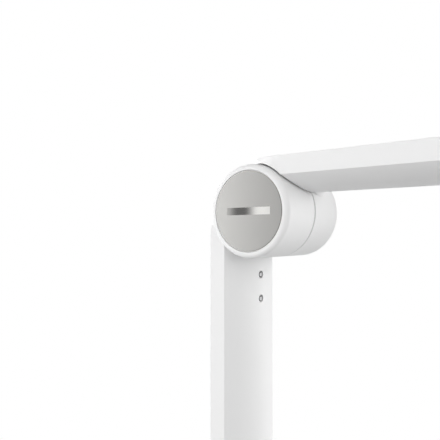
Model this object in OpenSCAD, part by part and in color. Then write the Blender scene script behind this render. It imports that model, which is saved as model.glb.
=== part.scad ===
// Desk book scanner: a weighted base, a hollow post, a friction elbow and a
// camera arm. Millimetres, +Z up, the table at z = 0, the arm points to -Y and
// the elbow turns about X. Post and arm share one bar section and one hub, both
// drawn in bar axes: x along the elbow axis, y along the bar away from the
// elbow, z from the elbow axis towards the flat back of the bar.

/* [Overall] */
// Height of the elbow axis above the table
elbow_height = 350; // [310:5:400]
// Elbow axis to the tip of the arm
arm_reach = 300; // [285:5:315]

/* [Base] */
// Width of the base
base_width = 160; // [156:1:190]
// Depth of the base
base_depth = 135; // [132:1:150]
// Height of the top of the base above the table
base_height = 24; // [24:0.5:28]
// Corner radius of the base seen from above
base_corner = 26; // [22:1:30]
// Rounding of the top edge of the base
base_edge = 6; // [4:0.5:7]
// Wall thickness of the base shell
base_wall = 2.5; // [2:0.1:2.8]
// Back of the post to the rear edge of the base
post_setback = 17.5; // [15:0.5:19]
// Lower rim of the base shell above the table
rim_lift = 1; // [0.6:0.1:1.5]
// Thickness of the rubber pad
pad_thick = 2; // [1.6:0.1:2.4]
// Edge of the steel plate to the edge of the pad
pad_margin = 4; // [2:0.5:8]
// Thickness of the steel base plate
plate_thick = 6; // [5:0.5:6.5]
// Corner screws of the base, inwards from the outer edges
base_screw_inset = 16; // [15:0.5:17]
// Thread diameter of the base screws
base_screw_d = 3; // [2.5:0.5:3.5]

/* [Bars] */
// Width of the post and of the arm
bar_width = 46.2; // [44:0.2:50]
// Flat back of a bar above the elbow barrel
bar_over = 3.2; // [2.8:0.1:4.2]
// Height of the straight sides of a bar
bar_side_height = 9.5; // [8.8:0.1:10]
// Height of the arched belly
belly_sag = 7.7; // [7.2:0.1:8.4]
// Wall thickness of the bar housings
wall = 2; // [1.6:0.1:2.2]
// Thickness of the back covers
cover_thick = 2; // [1.6:0.1:2.2]
// Width of the rim that frames a cover
cover_rim = 1; // [0.8:0.1:1.2]
// Tongue of a bar beyond the elbow axis, over the other hub
tongue_past = 6.2; // [5.5:0.1:6.4]
// Corner radius of that tongue
tongue_corner = 20; // [16:0.5:22]
// Gap between a tongue and the other bar when the arm stands straight up
tongue_gap = 0.8; // [0.6:0.1:0.9]
// Rounding of the arm tip seen from the side
tip_round = 6; // [4:0.5:7]
// Rounding of the arm tip seen from above
tip_corner = 10; // [6:0.5:12]

/* [Elbow] */
// Radius of the elbow barrel
hub_radius = 24; // [22:0.1:26]
// Barrel end beyond the side of the bars
hub_proud = 3.5; // [3.2:0.1:5]
// Rounding of the barrel rims
rim_round = 2.6; // [1.5:0.1:2.8]
// Rounding of the edges at the seam
seam_round = 0.4; // [0.2:0.1:0.6]
// Gap between the two hubs
seam_gap = 0.5; // [0.3:0.1:0.8]
// Gap between a hub and the bar that passes over it
scoop_gap = 0.8; // [0.6:0.1:1.2]
// Web at the seam end of each hub
hub_web = 4; // [3.5:0.1:4.4]
// Wall of the hubs around their bore
hub_wall = 4.5; // [4.2:0.1:5]
// Fillet between barrel and belly
hub_blend = 2.8; // [2:0.1:3.2]
// Barrel rim around the metal caps
cap_rim = 3.3; // [3:0.1:3.5]
// Thickness of the metal caps
cap_thick = 2.5; // [2:0.1:2.8]
// Cap face below the barrel rim
cap_sink = 0.4; // [0.2:0.1:0.8]
// Length of the scooped slot in a cap
slot_length = 27; // [24:0.2:30]
// Width of the scooped slot
slot_width = 3.8; // [3:0.1:4.5]
// Depth of the scooped slot at its middle
slot_depth = 1.6; // [1:0.1:1.8]

/* [Hinge core] */
// Outer radius of the hinge shaft
shaft_radius = 7; // [6.6:0.1:7.2]
// Bore radius of the hinge shaft
shaft_bore = 3.2; // [2.8:0.1:4]
// Thickness of the hinge brackets
bracket_thick = 2.5; // [2:0.1:2.6]
// Bore of a hub to the edge of the hinge bracket
bracket_margin = 2; // [1:0.1:3]
// Elbow axis to the far end of a bracket tongue
bracket_length = 56; // [54:0.5:60]
// Wall radius of the shaft bush
bush_wall = 2; // [1.5:0.1:2.5]
// Radius of the shaft flange
flange_radius = 13.5; // [12.5:0.1:14]
// Thickness of the shaft flange
flange_thick = 2.5; // [2:0.1:2.8]
// Radius of the circle of flange screws
flange_screw_ring = 10.2; // [9.8:0.1:10.6]
// Thread diameter of the flange screws
flange_screw_d = 2.5; // [2:0.1:2.6]
// Radius of the friction washer
friction_radius = 15; // [13:0.5:16]
// Thickness of the friction washer
friction_thick = 1; // [0.6:0.1:1.1]
// Radius of the disc spring
spring_radius = 13; // [11.5:0.5:14]
// Free height of the disc spring
spring_height = 1.5; // [1.2:0.1:1.6]
// Sheet thickness of the disc spring
spring_sheet = 0.8; // [0.5:0.1:0.9]
// Thickness of the lock nut
nut_thick = 2.7; // [2.2:0.1:2.8]
// Corner radius of the lock nut
nut_radius = 11.5; // [10:0.5:12.5]
// Elbow axis to the first bracket screw
bracket_screw_first = 34.1; // [33:0.1:36]
// First bracket screw to the second
bracket_screw_pitch = 13.3; // [11:0.1:14]
// Thread diameter of the bracket screws
bracket_screw_d = 1.6; // [1.4:0.1:1.8]
// Head diameter of the bracket screws
bracket_head_d = 2.9; // [2.6:0.1:3.2]
// Diameter of the well around a bracket screw head
bracket_well_d = 4.1; // [3.8:0.1:4.6]
// Depth of that well
bracket_well_depth = 1.6; // [1.3:0.1:1.7]

/* [Camera] */
// Arm tip to the camera axis
camera_inset = 38; // [36:0.5:42]
// Radius of the camera boss under the arm
camera_boss_radius = 19; // [18.5:0.1:19.4]
// Height of the camera boss below the belly
camera_boss_drop = 3.2; // [2:0.1:4.5]
// Bore radius of the camera boss
camera_bore = 15.5; // [15:0.1:16]
// Radius of the mouth of the black bezel
bezel_mouth = 12.5; // [11:0.1:13]
// Radius of the glass window
window_radius = 7.4; // [6.8:0.1:7.6]
// Thickness of the glass window
window_thick = 1; // [0.8:0.1:1.2]
// Radius of the lens barrel
lens_radius = 6; // [5:0.1:6.2]
// Side of the square camera board
camera_board_side = 36; // [35:0.5:37]
// Thickness of all circuit boards
board_thick = 1.6; // [1:0.1:1.6]
// Side of the square lens holder
holder_side = 16; // [14:0.5:18]
// Side of the square image sensor
sensor_side = 9; // [7:0.5:10]

/* [Light] */
// Elbow axis to the near end of the light
light_start = 105; // [98:1:115]
// Far end of the light to the camera axis
light_to_camera = 37; // [34:0.5:60]
// Width of the light seen from below
light_width = 24; // [18:0.5:25]
// Corner radius of the light
light_corner = 5; // [3:0.5:7]
// Lip of the diffuser inside the housing
diffuser_lip = 1.6; // [1:0.1:2]
// Number of light-emitting diodes
led_count = 10; // [6:1:14]
// Side of a light-emitting diode
led_side = 3; // [2.4:0.1:3.5]

/* [Buttons] */
// Length of the scan button
scan_length = 34; // [28:1:40]
// Width of the scan button, and diameter of the round buttons
button_width = 14; // [12:0.5:15]
// Middle of the base to a round button
button_spread = 42; // [38:1:46]
// Front edge of the base to the button row
button_front = 27; // [25:0.5:30]
// Height of the buttons above the base
button_proud = 1.2; // [1.1:0.1:1.6]
// Travel of the buttons
button_travel = 1; // [0.6:0.1:1]

/* [Wiring] */
// Radius of the jacketed cable
cable_radius = 2; // [1.6:0.1:2.1]
// Bend radius at the elbow axis
cable_turn = 5.2; // [4.8:0.1:5.3]
// Bend radius elsewhere
cable_bend = 6; // [5:0.1:6.5]
// Outer width of the supply socket
socket_width = 9; // [8.6:0.1:9.4]
// Outer height of the supply socket
socket_height = 3.2; // [3:0.1:3.4]
// Length of the supply socket
socket_length = 8.5; // [7.5:0.1:9.5]

/* [Fits] */
// Side gap of a part laid into a pocket
lay_gap = 0.2; // [0.15:0.01:0.25]
// Radial gap of the turning shaft
run_gap = 0.05; // [0.02:0.01:0.08]
// Radial gap between a screw and its hole
screw_gap = 0.15; // [0.1:0.01:0.2]
// Side gap around a sliding button
button_gap = 0.35; // [0.3:0.01:0.45]

/* [Hidden] */
$fn = 96;
eps = 0.02;
big = 400;

// Bar section
half_w = bar_width / 2;
bar_back = hub_radius + bar_over;
bar_crease = bar_back - bar_side_height;
bar_belly = bar_crease - belly_sag;
belly_r = (half_w * half_w + belly_sag * belly_sag) / (2 * belly_sag);
belly_c = bar_belly + belly_r;
inner_w = half_w - wall;
inner_belly = bar_belly + wall;
ledge = bar_back - cover_thick;
function belly_in(x) = belly_c - sqrt(pow(belly_r - wall, 2) - x * x);

// Hub and bar cavity
hub_half = half_w + hub_proud;
hub_bore = hub_radius - hub_wall;
cap_radius = hub_radius - cap_rim;
seam_x = seam_gap / 2;
blend_ease = 0.06;
corner_run = 9;
corner_step = 0.15;
corner_sink = 0.5;
corner_depth = 1.5;
web_x = seam_x + hub_web;
cap_face = hub_half - cap_sink;
cap_seat = cap_face - cap_thick;
scoop_r = hub_radius + scoop_gap;
cavity_start = scoop_r + wall;
own_end = tongue_past + tongue_gap;
window_start = own_end + wall;
window_floor = bar_belly + 3;
window_skin = 3;
window_end = sqrt(pow(hub_radius - window_skin, 2) - pow(window_floor, 2));
cover_start = cavity_start - 1.5;
post_length = elbow_height - pad_thick - plate_thick;
tip_solid = 6;
plan_ease = 0.05;
arm_cover_end = arm_reach - tip_solid - 3;
cover_rib = 1.3;
cover_rib_drop = 1;
slot_cut = (slot_length * slot_length / 4 + slot_depth * slot_depth) / (2 * slot_depth);

// Elbow position
elbow_y = base_depth / 2 - post_setback - bar_back;

// Hinge core stack, outwards from the web
bracket_out = web_x + bracket_thick;
flange_out = bracket_out + flange_thick;
friction_out = bracket_out + friction_thick;
spring_out = friction_out + spring_height;
nut_out = spring_out + nut_thick;
bush_r = shaft_radius + run_gap + bush_wall;
bracket_radius = hub_bore - bracket_margin;
seat_v = inner_belly + 1.4;
bracket_floor = seat_v;
bracket_top = ledge - 3;
tongue_side = 9;
flange_start = bracket_screw_first - 6;
bracket_screws_u = [bracket_screw_first, bracket_screw_first + bracket_screw_pitch];
boss_r = bracket_well_d / 2 + 1.6;
head_sink = 0.1;
head_slope = 0.5;
recess_reach = 0.55;
recess_wide = 0.24;
recess_deep = 0.35;
bracket_screw_end = bracket_floor + bracket_thick + 1;
flange_screws = 4;
flange_head_r = flange_screw_d * 0.85;
flange_head_h = 1.3;

// Camera stack, from the boss face up
camera_u = arm_reach - camera_inset;
boss_face = bar_belly - camera_boss_drop;
boss_top = belly_in(camera_boss_radius) - 0.6;
boss_edge = 1.2;
bezel_face = boss_face + 0.6;
bezel_flange = 1.5;
bezel_top = boss_top + bezel_flange;
bezel_wide = camera_bore + 1.8;
glass_seat = bezel_face + 5;
glass_rim = 0.9;
glass_top = glass_seat + window_thick;
lens_low = glass_top + 0.5;
lens_rim = 0.8;
lens_mouth_depth = 1.2;
lens_glass_radius = lens_radius - 2.6;
lens_glass_curve = 1.4 * lens_radius;
lens_glass_set = 0.4;
lens_glass_top = lens_low + lens_mouth_depth + 1;
board_v = ledge - board_thick - 1.6;
holder_low = bezel_top + 0.4;
lens_high = holder_low + 1.2;
sensor_thick = 1.1;
camera_boss_pitch = camera_board_side / 2 - 3;
camera_post_r = 2.5;
small_screw_r = 1;
small_head_r = 1.9;
small_head_h = 1.2;

// Light
light_end = camera_u - light_to_camera;
light_length = light_end - light_start;
led_board_v = belly_in(light_width / 2 + 4.3) + 0.8;
led_board_thick = 1.2;
led_board_half = light_width / 2 + 3.8;
led_rib_in = light_width / 2 + 2.3;
led_rib_wide = 2;
led_screw_off = 7;
led_high = 0.8;
lip_gap = 0.06;
led_screw_boss = 3;

// Base
plate_top = pad_thick + plate_thick;
shell_in = base_height - base_wall;
plate_w = base_width - 2 * base_wall - 2 * lay_gap;
plate_d = base_depth - 2 * base_wall - 2 * lay_gap;
plate_corner = base_corner - base_wall - lay_gap;
boss_x = base_width / 2 - base_screw_inset;
boss_y = base_depth / 2 - base_screw_inset;
base_boss_r = 4;
base_screw_r = base_screw_d / 2;
base_head_r = base_screw_d * 0.95;
standoff_h = 4;
standoff_r = 3;
board_z = plate_top + standoff_h;
board_top = board_z + board_thick;
board_margin = 22;
board_half = base_width / 2 - board_margin;
board_front = -base_depth / 2 + 16;
board_rear = elbow_y - 5;
wing_in = half_w + 9;
wing_out = board_half;
wing_rear = base_depth / 2 - 7.5;
standoffs = [
    [-board_half + 5, board_front + 5], [board_half - 5, board_front + 5],
    [-board_half + 5, board_rear - 5], [wing_out - 5, board_rear + 5]
];
socket_x = (wing_in + wing_out) / 2;
socket_face = base_depth / 2 - 1;
socket_sheet = 0.35;
socket_tongue_w = 6.6;
socket_tongue_h = 0.7;
socket_gap = 0.35;

// Buttons
button_y = -base_depth / 2 + button_front;
button_top = base_height + button_proud;
button_flange = 1.5;
button_flange_h = 1.3;
button_slack = 0.3;
button_flange_top = shell_in - button_slack;
button_flange_low = button_flange_top - button_flange_h;
switch_side = 6;
switch_body = 3;
plunger_r = 1.7;
stem_r = 2.6;
stem_gap = 0.1;
plunger_top = button_flange_low - 0.8 - button_travel - stem_gap;
button_edge = 0.7;
pipe_r = 1.5;
pipe_y = button_y + 16;
indicator_side = 2;
indicator_h = 0.8;

// Foot of the post
foot_height = 36;
foot_half = 13.5;
foot_screw_x = 8;
foot_screw_r = 2;
foot_head_r = 3.9;
foot_screw_v = (inner_belly + ledge) / 2 + 1;
foot_screw_end = plate_top + 18;
lock_screw_z = plate_top + 7;
lock_screw_r = 1.5;
lock_head_r = 2.8;
lock_head_h = 1.8;

// Wiring
cable_sides = 12;
bend_steps = 5;
cable_lead = 0.4;
cable_x = nut_out + cable_lead + cable_turn;
cable_v = ledge - cover_rib_drop - 0.3 - cable_radius;
cable_corner = 16.5;
cable_z = board_z + board_thick / 2;
cable_hole_gap = 0.5;
camera_cable_end = camera_u - camera_board_side / 2;

// Bar axes to the standing post
module on_post() {
    translate([0, elbow_y, elbow_height]) mirror([1, 0, 0]) rotate([-90, 0, 0]) children();
}

// Bar axes to the reaching arm
module on_arm() {
    translate([0, elbow_y, elbow_height]) mirror([0, 1, 0]) children();
}

// A flat shape in x and height, drawn out along the bar
module along_bar(from, to) {
    translate([0, to, 0]) rotate([90, 0, 0]) linear_extrude(to - from) children();
}

// A flat shape in bar length and height, drawn out along the elbow axis
module across_bar(from, to) {
    translate([from, 0, 0]) rotate([90, 0, 90]) linear_extrude(to - from) children();
}

// A round bar along the elbow axis
module x_rod(from, to, r) {
    translate([from, 0, 0]) rotate([0, 90, 0]) cylinder(h = to - from, r = r);
}

// A ring along the elbow axis
module x_ring(from, to, r, bore) {
    difference() {
        x_rod(from, to, r);
        x_rod(from - eps, to + eps, bore);
    }
}

// A round bar standing on bar height
module v_rod(from, to, r) {
    translate([0, 0, from]) cylinder(h = to - from, r = r);
}

// Rectangle with round corners, about its middle
module soft_rect(w, d, r) {
    square([w - 2 * r, d], center = true);
    square([w, d - 2 * r], center = true);
    for (x = [-1, 1], y = [-1, 1])
        translate([x * (w / 2 - r), y * (d / 2 - r)]) circle(r);
}

// Half of a block seen from the side, with a rounded top edge
module edge_half(r, h, e) {
    square([r, h - e]);
    square([r - e, h]);
    translate([r - e, h - e]) circle(e);
}

// Block with round corners and a rounded top edge, standing on z = 0
module soft_block(w, d, h, r, e) {
    for (x = [-1, 1], y = [-1, 1])
        translate([x * (w / 2 - r), y * (d / 2 - r), 0]) rotate_extrude() edge_half(r, h, e);
    rotate([90, 0, 90]) linear_extrude(w - 2 * r, center = true) edge_pair(d / 2, h, e);
    rotate([90, 0, 0]) linear_extrude(d - 2 * r, center = true) edge_pair(w / 2, h, e);
}

// Side view of a block with both top edges rounded
module edge_pair(half, h, e) {
    edge_half(half, h, e);
    mirror([1, 0]) edge_half(half, h, e);
}

// Section of a bar: flat back, short sides and an arched belly
module bar_section(inset = 0, top = bar_back) {
    intersection() {
        translate([0, belly_c]) circle(belly_r - inset, $fn = 240);
        translate([-half_w + inset, 0]) square([bar_width - 2 * inset, top]);
    }
}

// Side view of a bar, with the rounded tip of the arm
module bar_side(length, tip) {
    translate([-tongue_past - 1, 0]) square([length + tongue_past + 1 - tip, bar_back]);
    if (tip > 0) {
        translate([length - 2 * tip, bar_belly + tip]) square([2 * tip, bar_back - bar_belly - 2 * tip]);
        translate([length - tip, bar_back - tip]) circle(tip);
        translate([length - tip, bar_belly + tip]) circle(tip);
    }
}

// Plan of a bar at the elbow: a tongue with round corners, cut short on the half of its own hub
module elbow_plan(length) {
    corner_x = half_w - tongue_corner + plan_ease;
    corner_u = tongue_corner - tongue_past;
    difference() {
        union() {
            translate([-half_w - 1, corner_u]) square([bar_width + 2, length - corner_u + 1]);
            translate([-corner_x, -tongue_past]) square([2 * corner_x, tongue_corner + 1]);
            for (s = [-1, 1]) translate([s * corner_x, corner_u]) circle(tongue_corner, $fn = 240);
        }
        translate([-seam_x, -big]) square([big, big + own_end]);
    }
}

// Barrel half with its rounded rim
module hub_solid() {
    translate([seam_x, 0, 0]) rotate([0, 90, 0]) rotate_extrude() hub_side();
}

module hub_side() {
    length = hub_half - seam_x;
    translate([0, seam_round]) square([hub_radius, length - seam_round - rim_round]);
    square([hub_radius - rim_round, length]);
    square([hub_radius - seam_round, length / 2]);
    translate([hub_radius - rim_round, length - rim_round]) circle(rim_round);
    translate([hub_radius - seam_round, seam_round]) circle(seam_round);
}

// Middle of a ball of radius r that touches barrel and belly from outside, at x from the bar's middle.
// A ball of no radius sits in the corner itself.
function ball_v(x, r) = belly_c - sqrt(pow(belly_r + r, 2) - x * x);
function ball_at(x, r) = [x, sqrt(pow(hub_radius + r, 2) - pow(ball_v(x, r), 2)), ball_v(x, r)];

// That middle for a ball of the fillet's radius that is pushed in until it reaches the corner
function ball_pushed(x) =
    let (corner = ball_at(x, 0), free = ball_at(x, hub_blend))
    corner + unit(free - corner) * hub_blend;

// Ring of tube radius r whose middle line passes through three points
module ring_through(a, b, c, r) {
    axis = cross(a - c, b - c);
    middle = c + cross((a - c) * (a - c) * (b - c) - (b - c) * (b - c) * (a - c), axis) / (2 * axis * axis);
    out = unit(b - middle);
    up = unit(axis);
    side = cross(up, out);
    multmatrix([for (i = [0 : 2]) [out[i], side[i], up[i], middle[i]]])
        rotate_extrude() translate([norm(b - middle), 0]) circle(r);
}

// Fillet between barrel and belly, which runs out at the seam and at the side of the bar: the corner
// is filled, then a ring is cut that touches both faces half way along
module hub_fillet() {
    from = seam_x + seam_round;
    to = half_w - seam_round;
    reach = hub_radius + hub_blend;
    difference() {
        intersection() {
            x_rod(from, to, reach);
            along_bar(0, reach + 1) translate([0, belly_c]) circle(belly_r + hub_blend);
            translate([from, reach / 2, 0]) cube([to - from, reach / 2, bar_crease]);
        }
        ring_through(ball_pushed(from), ball_at((from + to) / 2, hub_blend), ball_pushed(to),
            hub_blend + blend_ease);
    }
}

// Shadow gap that runs on from the scoop into the corner between barrel and belly, and closes there
module corner_gap() {
    intersection() {
        translate([seam_x - eps, 0, 0]) rotate([0, 90, 0])
            cylinder(h = corner_run, r1 = scoop_r - corner_step, r2 = hub_radius - corner_sink);
        translate([0, hub_radius / 2, 0]) cube([corner_run, hub_radius, bar_belly + corner_depth]);
    }
}

// Outside of a bar: hub on one half, a scoop for the other hub on the other
module bar_outside(length, tip) {
    difference() {
        union() {
            intersection() {
                along_bar(-tongue_past - 1, length) bar_section();
                across_bar(-half_w - 1, half_w + 1) bar_side(length, tip);
                linear_extrude(bar_back + 1) elbow_plan(length);
            }
            hub_fillet();
        }
        x_rod(-half_w - 2, seam_x, scoop_r);
        corner_gap();
    }
    hub_solid();
}

// Everything hollow that both bars share
module bar_hollow(length, end, cover_end) {
    along_bar(cavity_start, end) bar_section(wall, bar_back + 1);
    translate([-half_w + cover_rim, cover_start, ledge])
        cube([bar_width - 2 * cover_rim, cover_end - cover_start, cover_thick + 1]);
    intersection() {
        along_bar(window_start, cavity_start + 1) bar_section(wall, ledge);
        translate([web_x, 0, 0]) cube([half_w, cavity_start + 2, bar_back]);
    }
    translate([web_x, window_start, window_floor])
        cube([inner_w - web_x, window_end - window_start, ledge - window_floor]);
    x_rod(web_x, cap_seat + eps, hub_bore);
    x_rod(cap_seat, hub_half + 1, cap_radius + lay_gap);
    for (u = bracket_screws_u) translate([0, u, 0]) {
        v_rod(bar_belly - 1, bar_belly + bracket_well_depth, bracket_well_d / 2);
        v_rod(bar_belly, seat_v + 1, bracket_screw_d / 2 + screw_gap);
    }
}

// Bosses inside a bar that the hinge bracket is screwed to
module bracket_bosses() {
    for (u = bracket_screws_u) translate([0, u, 0]) difference() {
        v_rod(bar_belly + wall / 2, seat_v, boss_r);
        v_rod(bar_belly, bar_belly + bracket_well_depth, bracket_well_d / 2);
        v_rod(bar_belly, seat_v + 1, bracket_screw_d / 2 + screw_gap);
    }
}

// Cover plate of a bar with its two locating ribs
module bar_cover(end) {
    first = cover_start + lay_gap;
    last = end - lay_gap;
    reach = half_w - cover_rim - lay_gap;
    translate([-reach, first, ledge]) cube([2 * reach, last - first, cover_thick]);
    rib_first = cavity_start + lay_gap;
    rib_last = end - cover_rim - lay_gap - 1;
    rib_x = inner_w - lay_gap - cover_rib / 2;
    for (s = [-1, 1]) translate([s * rib_x - cover_rib / 2, rib_first, ledge - cover_rib_drop])
        cube([cover_rib, rib_last - rib_first, cover_rib_drop + eps]);
}

// Steel plate around the shaft, with a tongue and a screw flange in the bar
module hinge_bracket(shaft_hole) {
    difference() {
        union() {
            across_bar(web_x, bracket_out) intersection() {
                union() {
                    circle(hub_bore - lay_gap);
                    translate([window_start + lay_gap, bracket_floor])
                        square([bracket_length - window_start, bracket_top - bracket_floor]);
                }
                union() {
                    circle(bracket_radius);
                    translate([0, bracket_floor - hub_bore / 2])
                        square([bracket_length, bracket_top - bracket_floor + hub_bore / 2]);
                }
            }
            translate([-tongue_side, flange_start, bracket_floor])
                cube([tongue_side + bracket_out, bracket_length - flange_start, bracket_thick]);
        }
        x_rod(web_x - 1, bracket_out + 1, shaft_hole);
        for (u = bracket_screws_u) translate([0, u, 0])
            v_rod(bracket_floor - 1, bracket_floor + bracket_thick + 1, bracket_screw_d / 2 + run_gap);
        flange_holes(web_x - 1, bracket_out + 1, flange_screw_d / 2 + run_gap);
    }
}

// Holes or shanks on the circle of flange screws
module flange_holes(from, to, r) {
    for (i = [0 : flange_screws - 1]) rotate([360 / flange_screws * (i + 0.5), 0, 0])
        translate([0, flange_screw_ring, 0]) x_rod(from, to, r);
}

// Screws that hold a hinge bracket, seen as small wells in the belly
module bracket_screws() {
    head_r = bracket_head_d / 2;
    top = bar_belly + head_sink;
    for (u = bracket_screws_u) translate([0, u, 0]) difference() {
        union() {
            translate([0, 0, top]) cylinder(h = head_slope, r1 = head_r - head_slope, r2 = head_r);
            v_rod(top + head_slope, bar_belly + bracket_well_depth, head_r);
            v_rod(bar_belly + bracket_well_depth - eps, bracket_screw_end, bracket_screw_d / 2);
        }
        for (turn = [0, 90]) rotate([0, 0, turn])
            translate([-recess_reach, -recess_wide / 2, top - 1])
                cube([2 * recess_reach, recess_wide, recess_deep + 1]);
    }
}

// Metal disc that closes a hub, with its scooped slot
module hub_cap(slot_turn) {
    difference() {
        union() {
            x_rod(cap_seat, cap_face, cap_radius);
            x_ring(cap_seat - 3, cap_seat + eps, hub_bore - lay_gap, hub_bore - lay_gap - 1.3);
        }
        rotate([slot_turn, 0, 0]) translate([cap_face + slot_cut - slot_depth, 0, 0])
            rotate([90, 0, 0]) cylinder(h = slot_width, r = slot_cut, center = true, $fn = 480);
    }
}

function unit(v) = v / norm(v);

// Points and directions along one bend at point p, between points a and b
function bend_path(a, p, b, bend) =
    let (go = unit(p - a), out = unit(b - p), turn = acos(go * out))
    let (side = unit(out - (out * go) * go), c = p - go * bend * tan(turn / 2) + side * bend)
    [for (i = [0 : bend_steps]) let (t = turn * i / bend_steps)
        [c - side * bend * cos(t) + go * bend * sin(t), go * cos(t) + side * sin(t)]];

// Points and directions along a cable, with a bend radius for each inner point
function run_path(pts, bends) =
    let (last = len(pts) - 1)
    [
        [pts[0], unit(pts[1] - pts[0])],
        for (i = [1 : last - 1]) each bend_path(pts[i - 1], pts[i], pts[i + 1], bends[i - 1]),
        [pts[last], unit(pts[last] - pts[last - 1])]
    ];

// One side direction per ring, carried along the cable without twist
function carried(path, side, i = 0) =
    i == len(path) ? [] :
    let (t = path[i][1], s = unit(side - (side * t) * t))
    concat([s], carried(path, s, i + 1));

// Cable through a list of points, built ring by ring
module cable_run(pts, bends) {
    path = run_path(pts, bends);
    sides = carried(path, [0, 1, 0.3]);
    n = cable_sides;
    last = (len(path) - 1) * n;
    points = [
        for (i = [0 : len(path) - 1]) for (k = [0 : n - 1])
            path[i][0] + cable_radius * (cos(360 * k / n) * sides[i]
                + sin(360 * k / n) * cross(path[i][1], sides[i]))
    ];
    faces = [
        [for (k = [0 : n - 1]) k],
        for (i = [0 : len(path) - 2]) for (k = [0 : n - 1]) each [
            [i * n + k, (i + 1) * n + k, (i + 1) * n + (k + 1) % n],
            [i * n + k, (i + 1) * n + (k + 1) % n, i * n + (k + 1) % n]
        ],
        [for (k = [n - 1 : -1 : 0]) last + k]
    ];
    polyhedron(points, faces);
}

// Screw with a flat countersunk head, standing on its head
module sunk_screw(head_r, r, length) {
    cylinder(h = head_r - r, r1 = head_r, r2 = r);
    cylinder(h = length, r = r);
}

// Stadium with a rounded top edge, standing on z = 0
module stadium(length, width, h, e) {
    r = width / 2;
    for (x = [-1, 1]) translate([x * (length / 2 - r), 0, 0]) rotate_extrude() edge_half(r, h, e);
    rotate([90, 0, 90]) linear_extrude(length - width, center = true) edge_pair(r, h, e);
}

// Flat stadium
module stadium_flat(length, width) {
    square([length - width, width], center = true);
    for (x = [-1, 1]) translate([x * (length - width) / 2, 0]) circle(width / 2);
}

// Stem of a button, down to its switch
module button_stem() {
    translate([0, 0, plunger_top + button_travel + stem_gap])
        cylinder(h = button_flange_low - plunger_top - button_travel, r = stem_r);
}

// Round button with a retaining flange and a stem that meets its switch
module round_button(x) {
    translate([x, button_y, 0]) {
        translate([0, 0, button_flange_low])
            cylinder(h = button_flange_h, r = button_width / 2 + button_flange);
        translate([0, 0, button_flange_low]) rotate_extrude()
            edge_half(button_width / 2, button_top - button_flange_low, button_edge);
        button_stem();
    }
}

module base_shell() color("white") {
    difference() {
        translate([0, 0, rim_lift])
            soft_block(base_width, base_depth, base_height - rim_lift, base_corner, base_edge);
        translate([0, 0, rim_lift - 1])
            soft_block(base_width - 2 * base_wall, base_depth - 2 * base_wall, shell_in - rim_lift + 1,
                base_corner - base_wall, base_edge - base_wall);
        on_post() along_bar(post_length - base_height, post_length - plate_top + 1) post_opening();
        translate([0, button_y, shell_in - 1]) linear_extrude(base_wall + 2)
            stadium_flat(scan_length + 2 * button_gap, button_width + 2 * button_gap);
        for (s = [-1, 1]) translate([s * button_spread, button_y, shell_in - 1])
            cylinder(h = base_wall + 2, r = button_width / 2 + button_gap);
        translate([0, pipe_y, shell_in - 1]) cylinder(h = base_wall + 2, r = pipe_r + screw_gap);
        translate([socket_x, base_depth / 2 - base_wall - 1, board_top + socket_height / 2])
            rotate([-90, 0, 0]) linear_extrude(base_wall + 2)
                soft_rect(socket_width + 2 * socket_gap, socket_height + 2 * socket_gap,
                    socket_height / 2 + socket_gap - eps);
    }
    for (x = [-1, 1], y = [-1, 1]) translate([x * boss_x, y * boss_y, plate_top]) difference() {
        cylinder(h = shell_in - plate_top + eps, r = base_boss_r);
        translate([0, 0, -1]) cylinder(h = shell_in - plate_top - 1, r = base_screw_r + run_gap);
    }
}

// Opening in the base for the post and its cover
module post_opening() {
    intersection() {
        translate([0, belly_c]) circle(belly_r + lay_gap, $fn = 240);
        translate([-half_w - lay_gap, 0]) square([bar_width + 2 * lay_gap, bar_back + lay_gap]);
    }
}

module base_plate() color("silver") {
    difference() {
        translate([0, 0, pad_thick]) linear_extrude(plate_thick) soft_rect(plate_w, plate_d, plate_corner);
        for (x = [-1, 1], y = [-1, 1]) translate([x * boss_x, y * boss_y, pad_thick - eps])
            sunk_screw(base_head_r + run_gap, base_screw_r + screw_gap, plate_thick + 1);
        for (x = [-1, 1]) translate([x * foot_screw_x, elbow_y + foot_screw_v, pad_thick - eps])
            sunk_screw(foot_head_r + run_gap, foot_screw_r + screw_gap, plate_thick + 1);
    }
}

module base_pad() color("dimgray") {
    linear_extrude(pad_thick)
        soft_rect(plate_w - 2 * pad_margin, plate_d - 2 * pad_margin, plate_corner - pad_margin);
}

module base_screws() color("gray") {
    for (x = [-1, 1], y = [-1, 1]) translate([x * boss_x, y * boss_y, pad_thick])
        sunk_screw(base_head_r, base_screw_r, shell_in - pad_thick - 3);
}

module main_board() color("green") {
    difference() {
        translate([0, 0, board_z]) linear_extrude(board_thick) union() {
            translate([-board_half, board_front]) square([2 * board_half, board_rear - board_front]);
            translate([wing_in, board_front]) square([wing_out - wing_in, wing_rear - board_front]);
        }
        for (p = standoffs) translate([p.x, p.y, board_z - 1])
            cylinder(h = board_thick + 2, r = small_screw_r + screw_gap);
    }
}

module board_standoffs() color("goldenrod") {
    for (p = standoffs) translate([p.x, p.y, plate_top]) difference() {
        cylinder(h = standoff_h, r = standoff_r, $fn = 6);
        translate([0, 0, 1]) cylinder(h = standoff_h, r = small_screw_r + run_gap);
    }
}

module board_screws() color("gray") {
    for (p = standoffs) translate([p.x, p.y, 0]) {
        translate([0, 0, board_top]) cylinder(h = small_head_h, r = small_head_r);
        translate([0, 0, plate_top + 1.2]) cylinder(h = board_top - plate_top - 1, r = small_screw_r);
    }
}

module tact_switches() color("black") {
    for (x = [-button_spread, 0, button_spread]) translate([x, button_y, board_top]) {
        translate([-switch_side / 2, -switch_side / 2, 0]) cube([switch_side, switch_side, switch_body]);
        cylinder(h = plunger_top - board_top, r = plunger_r);
    }
}

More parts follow.
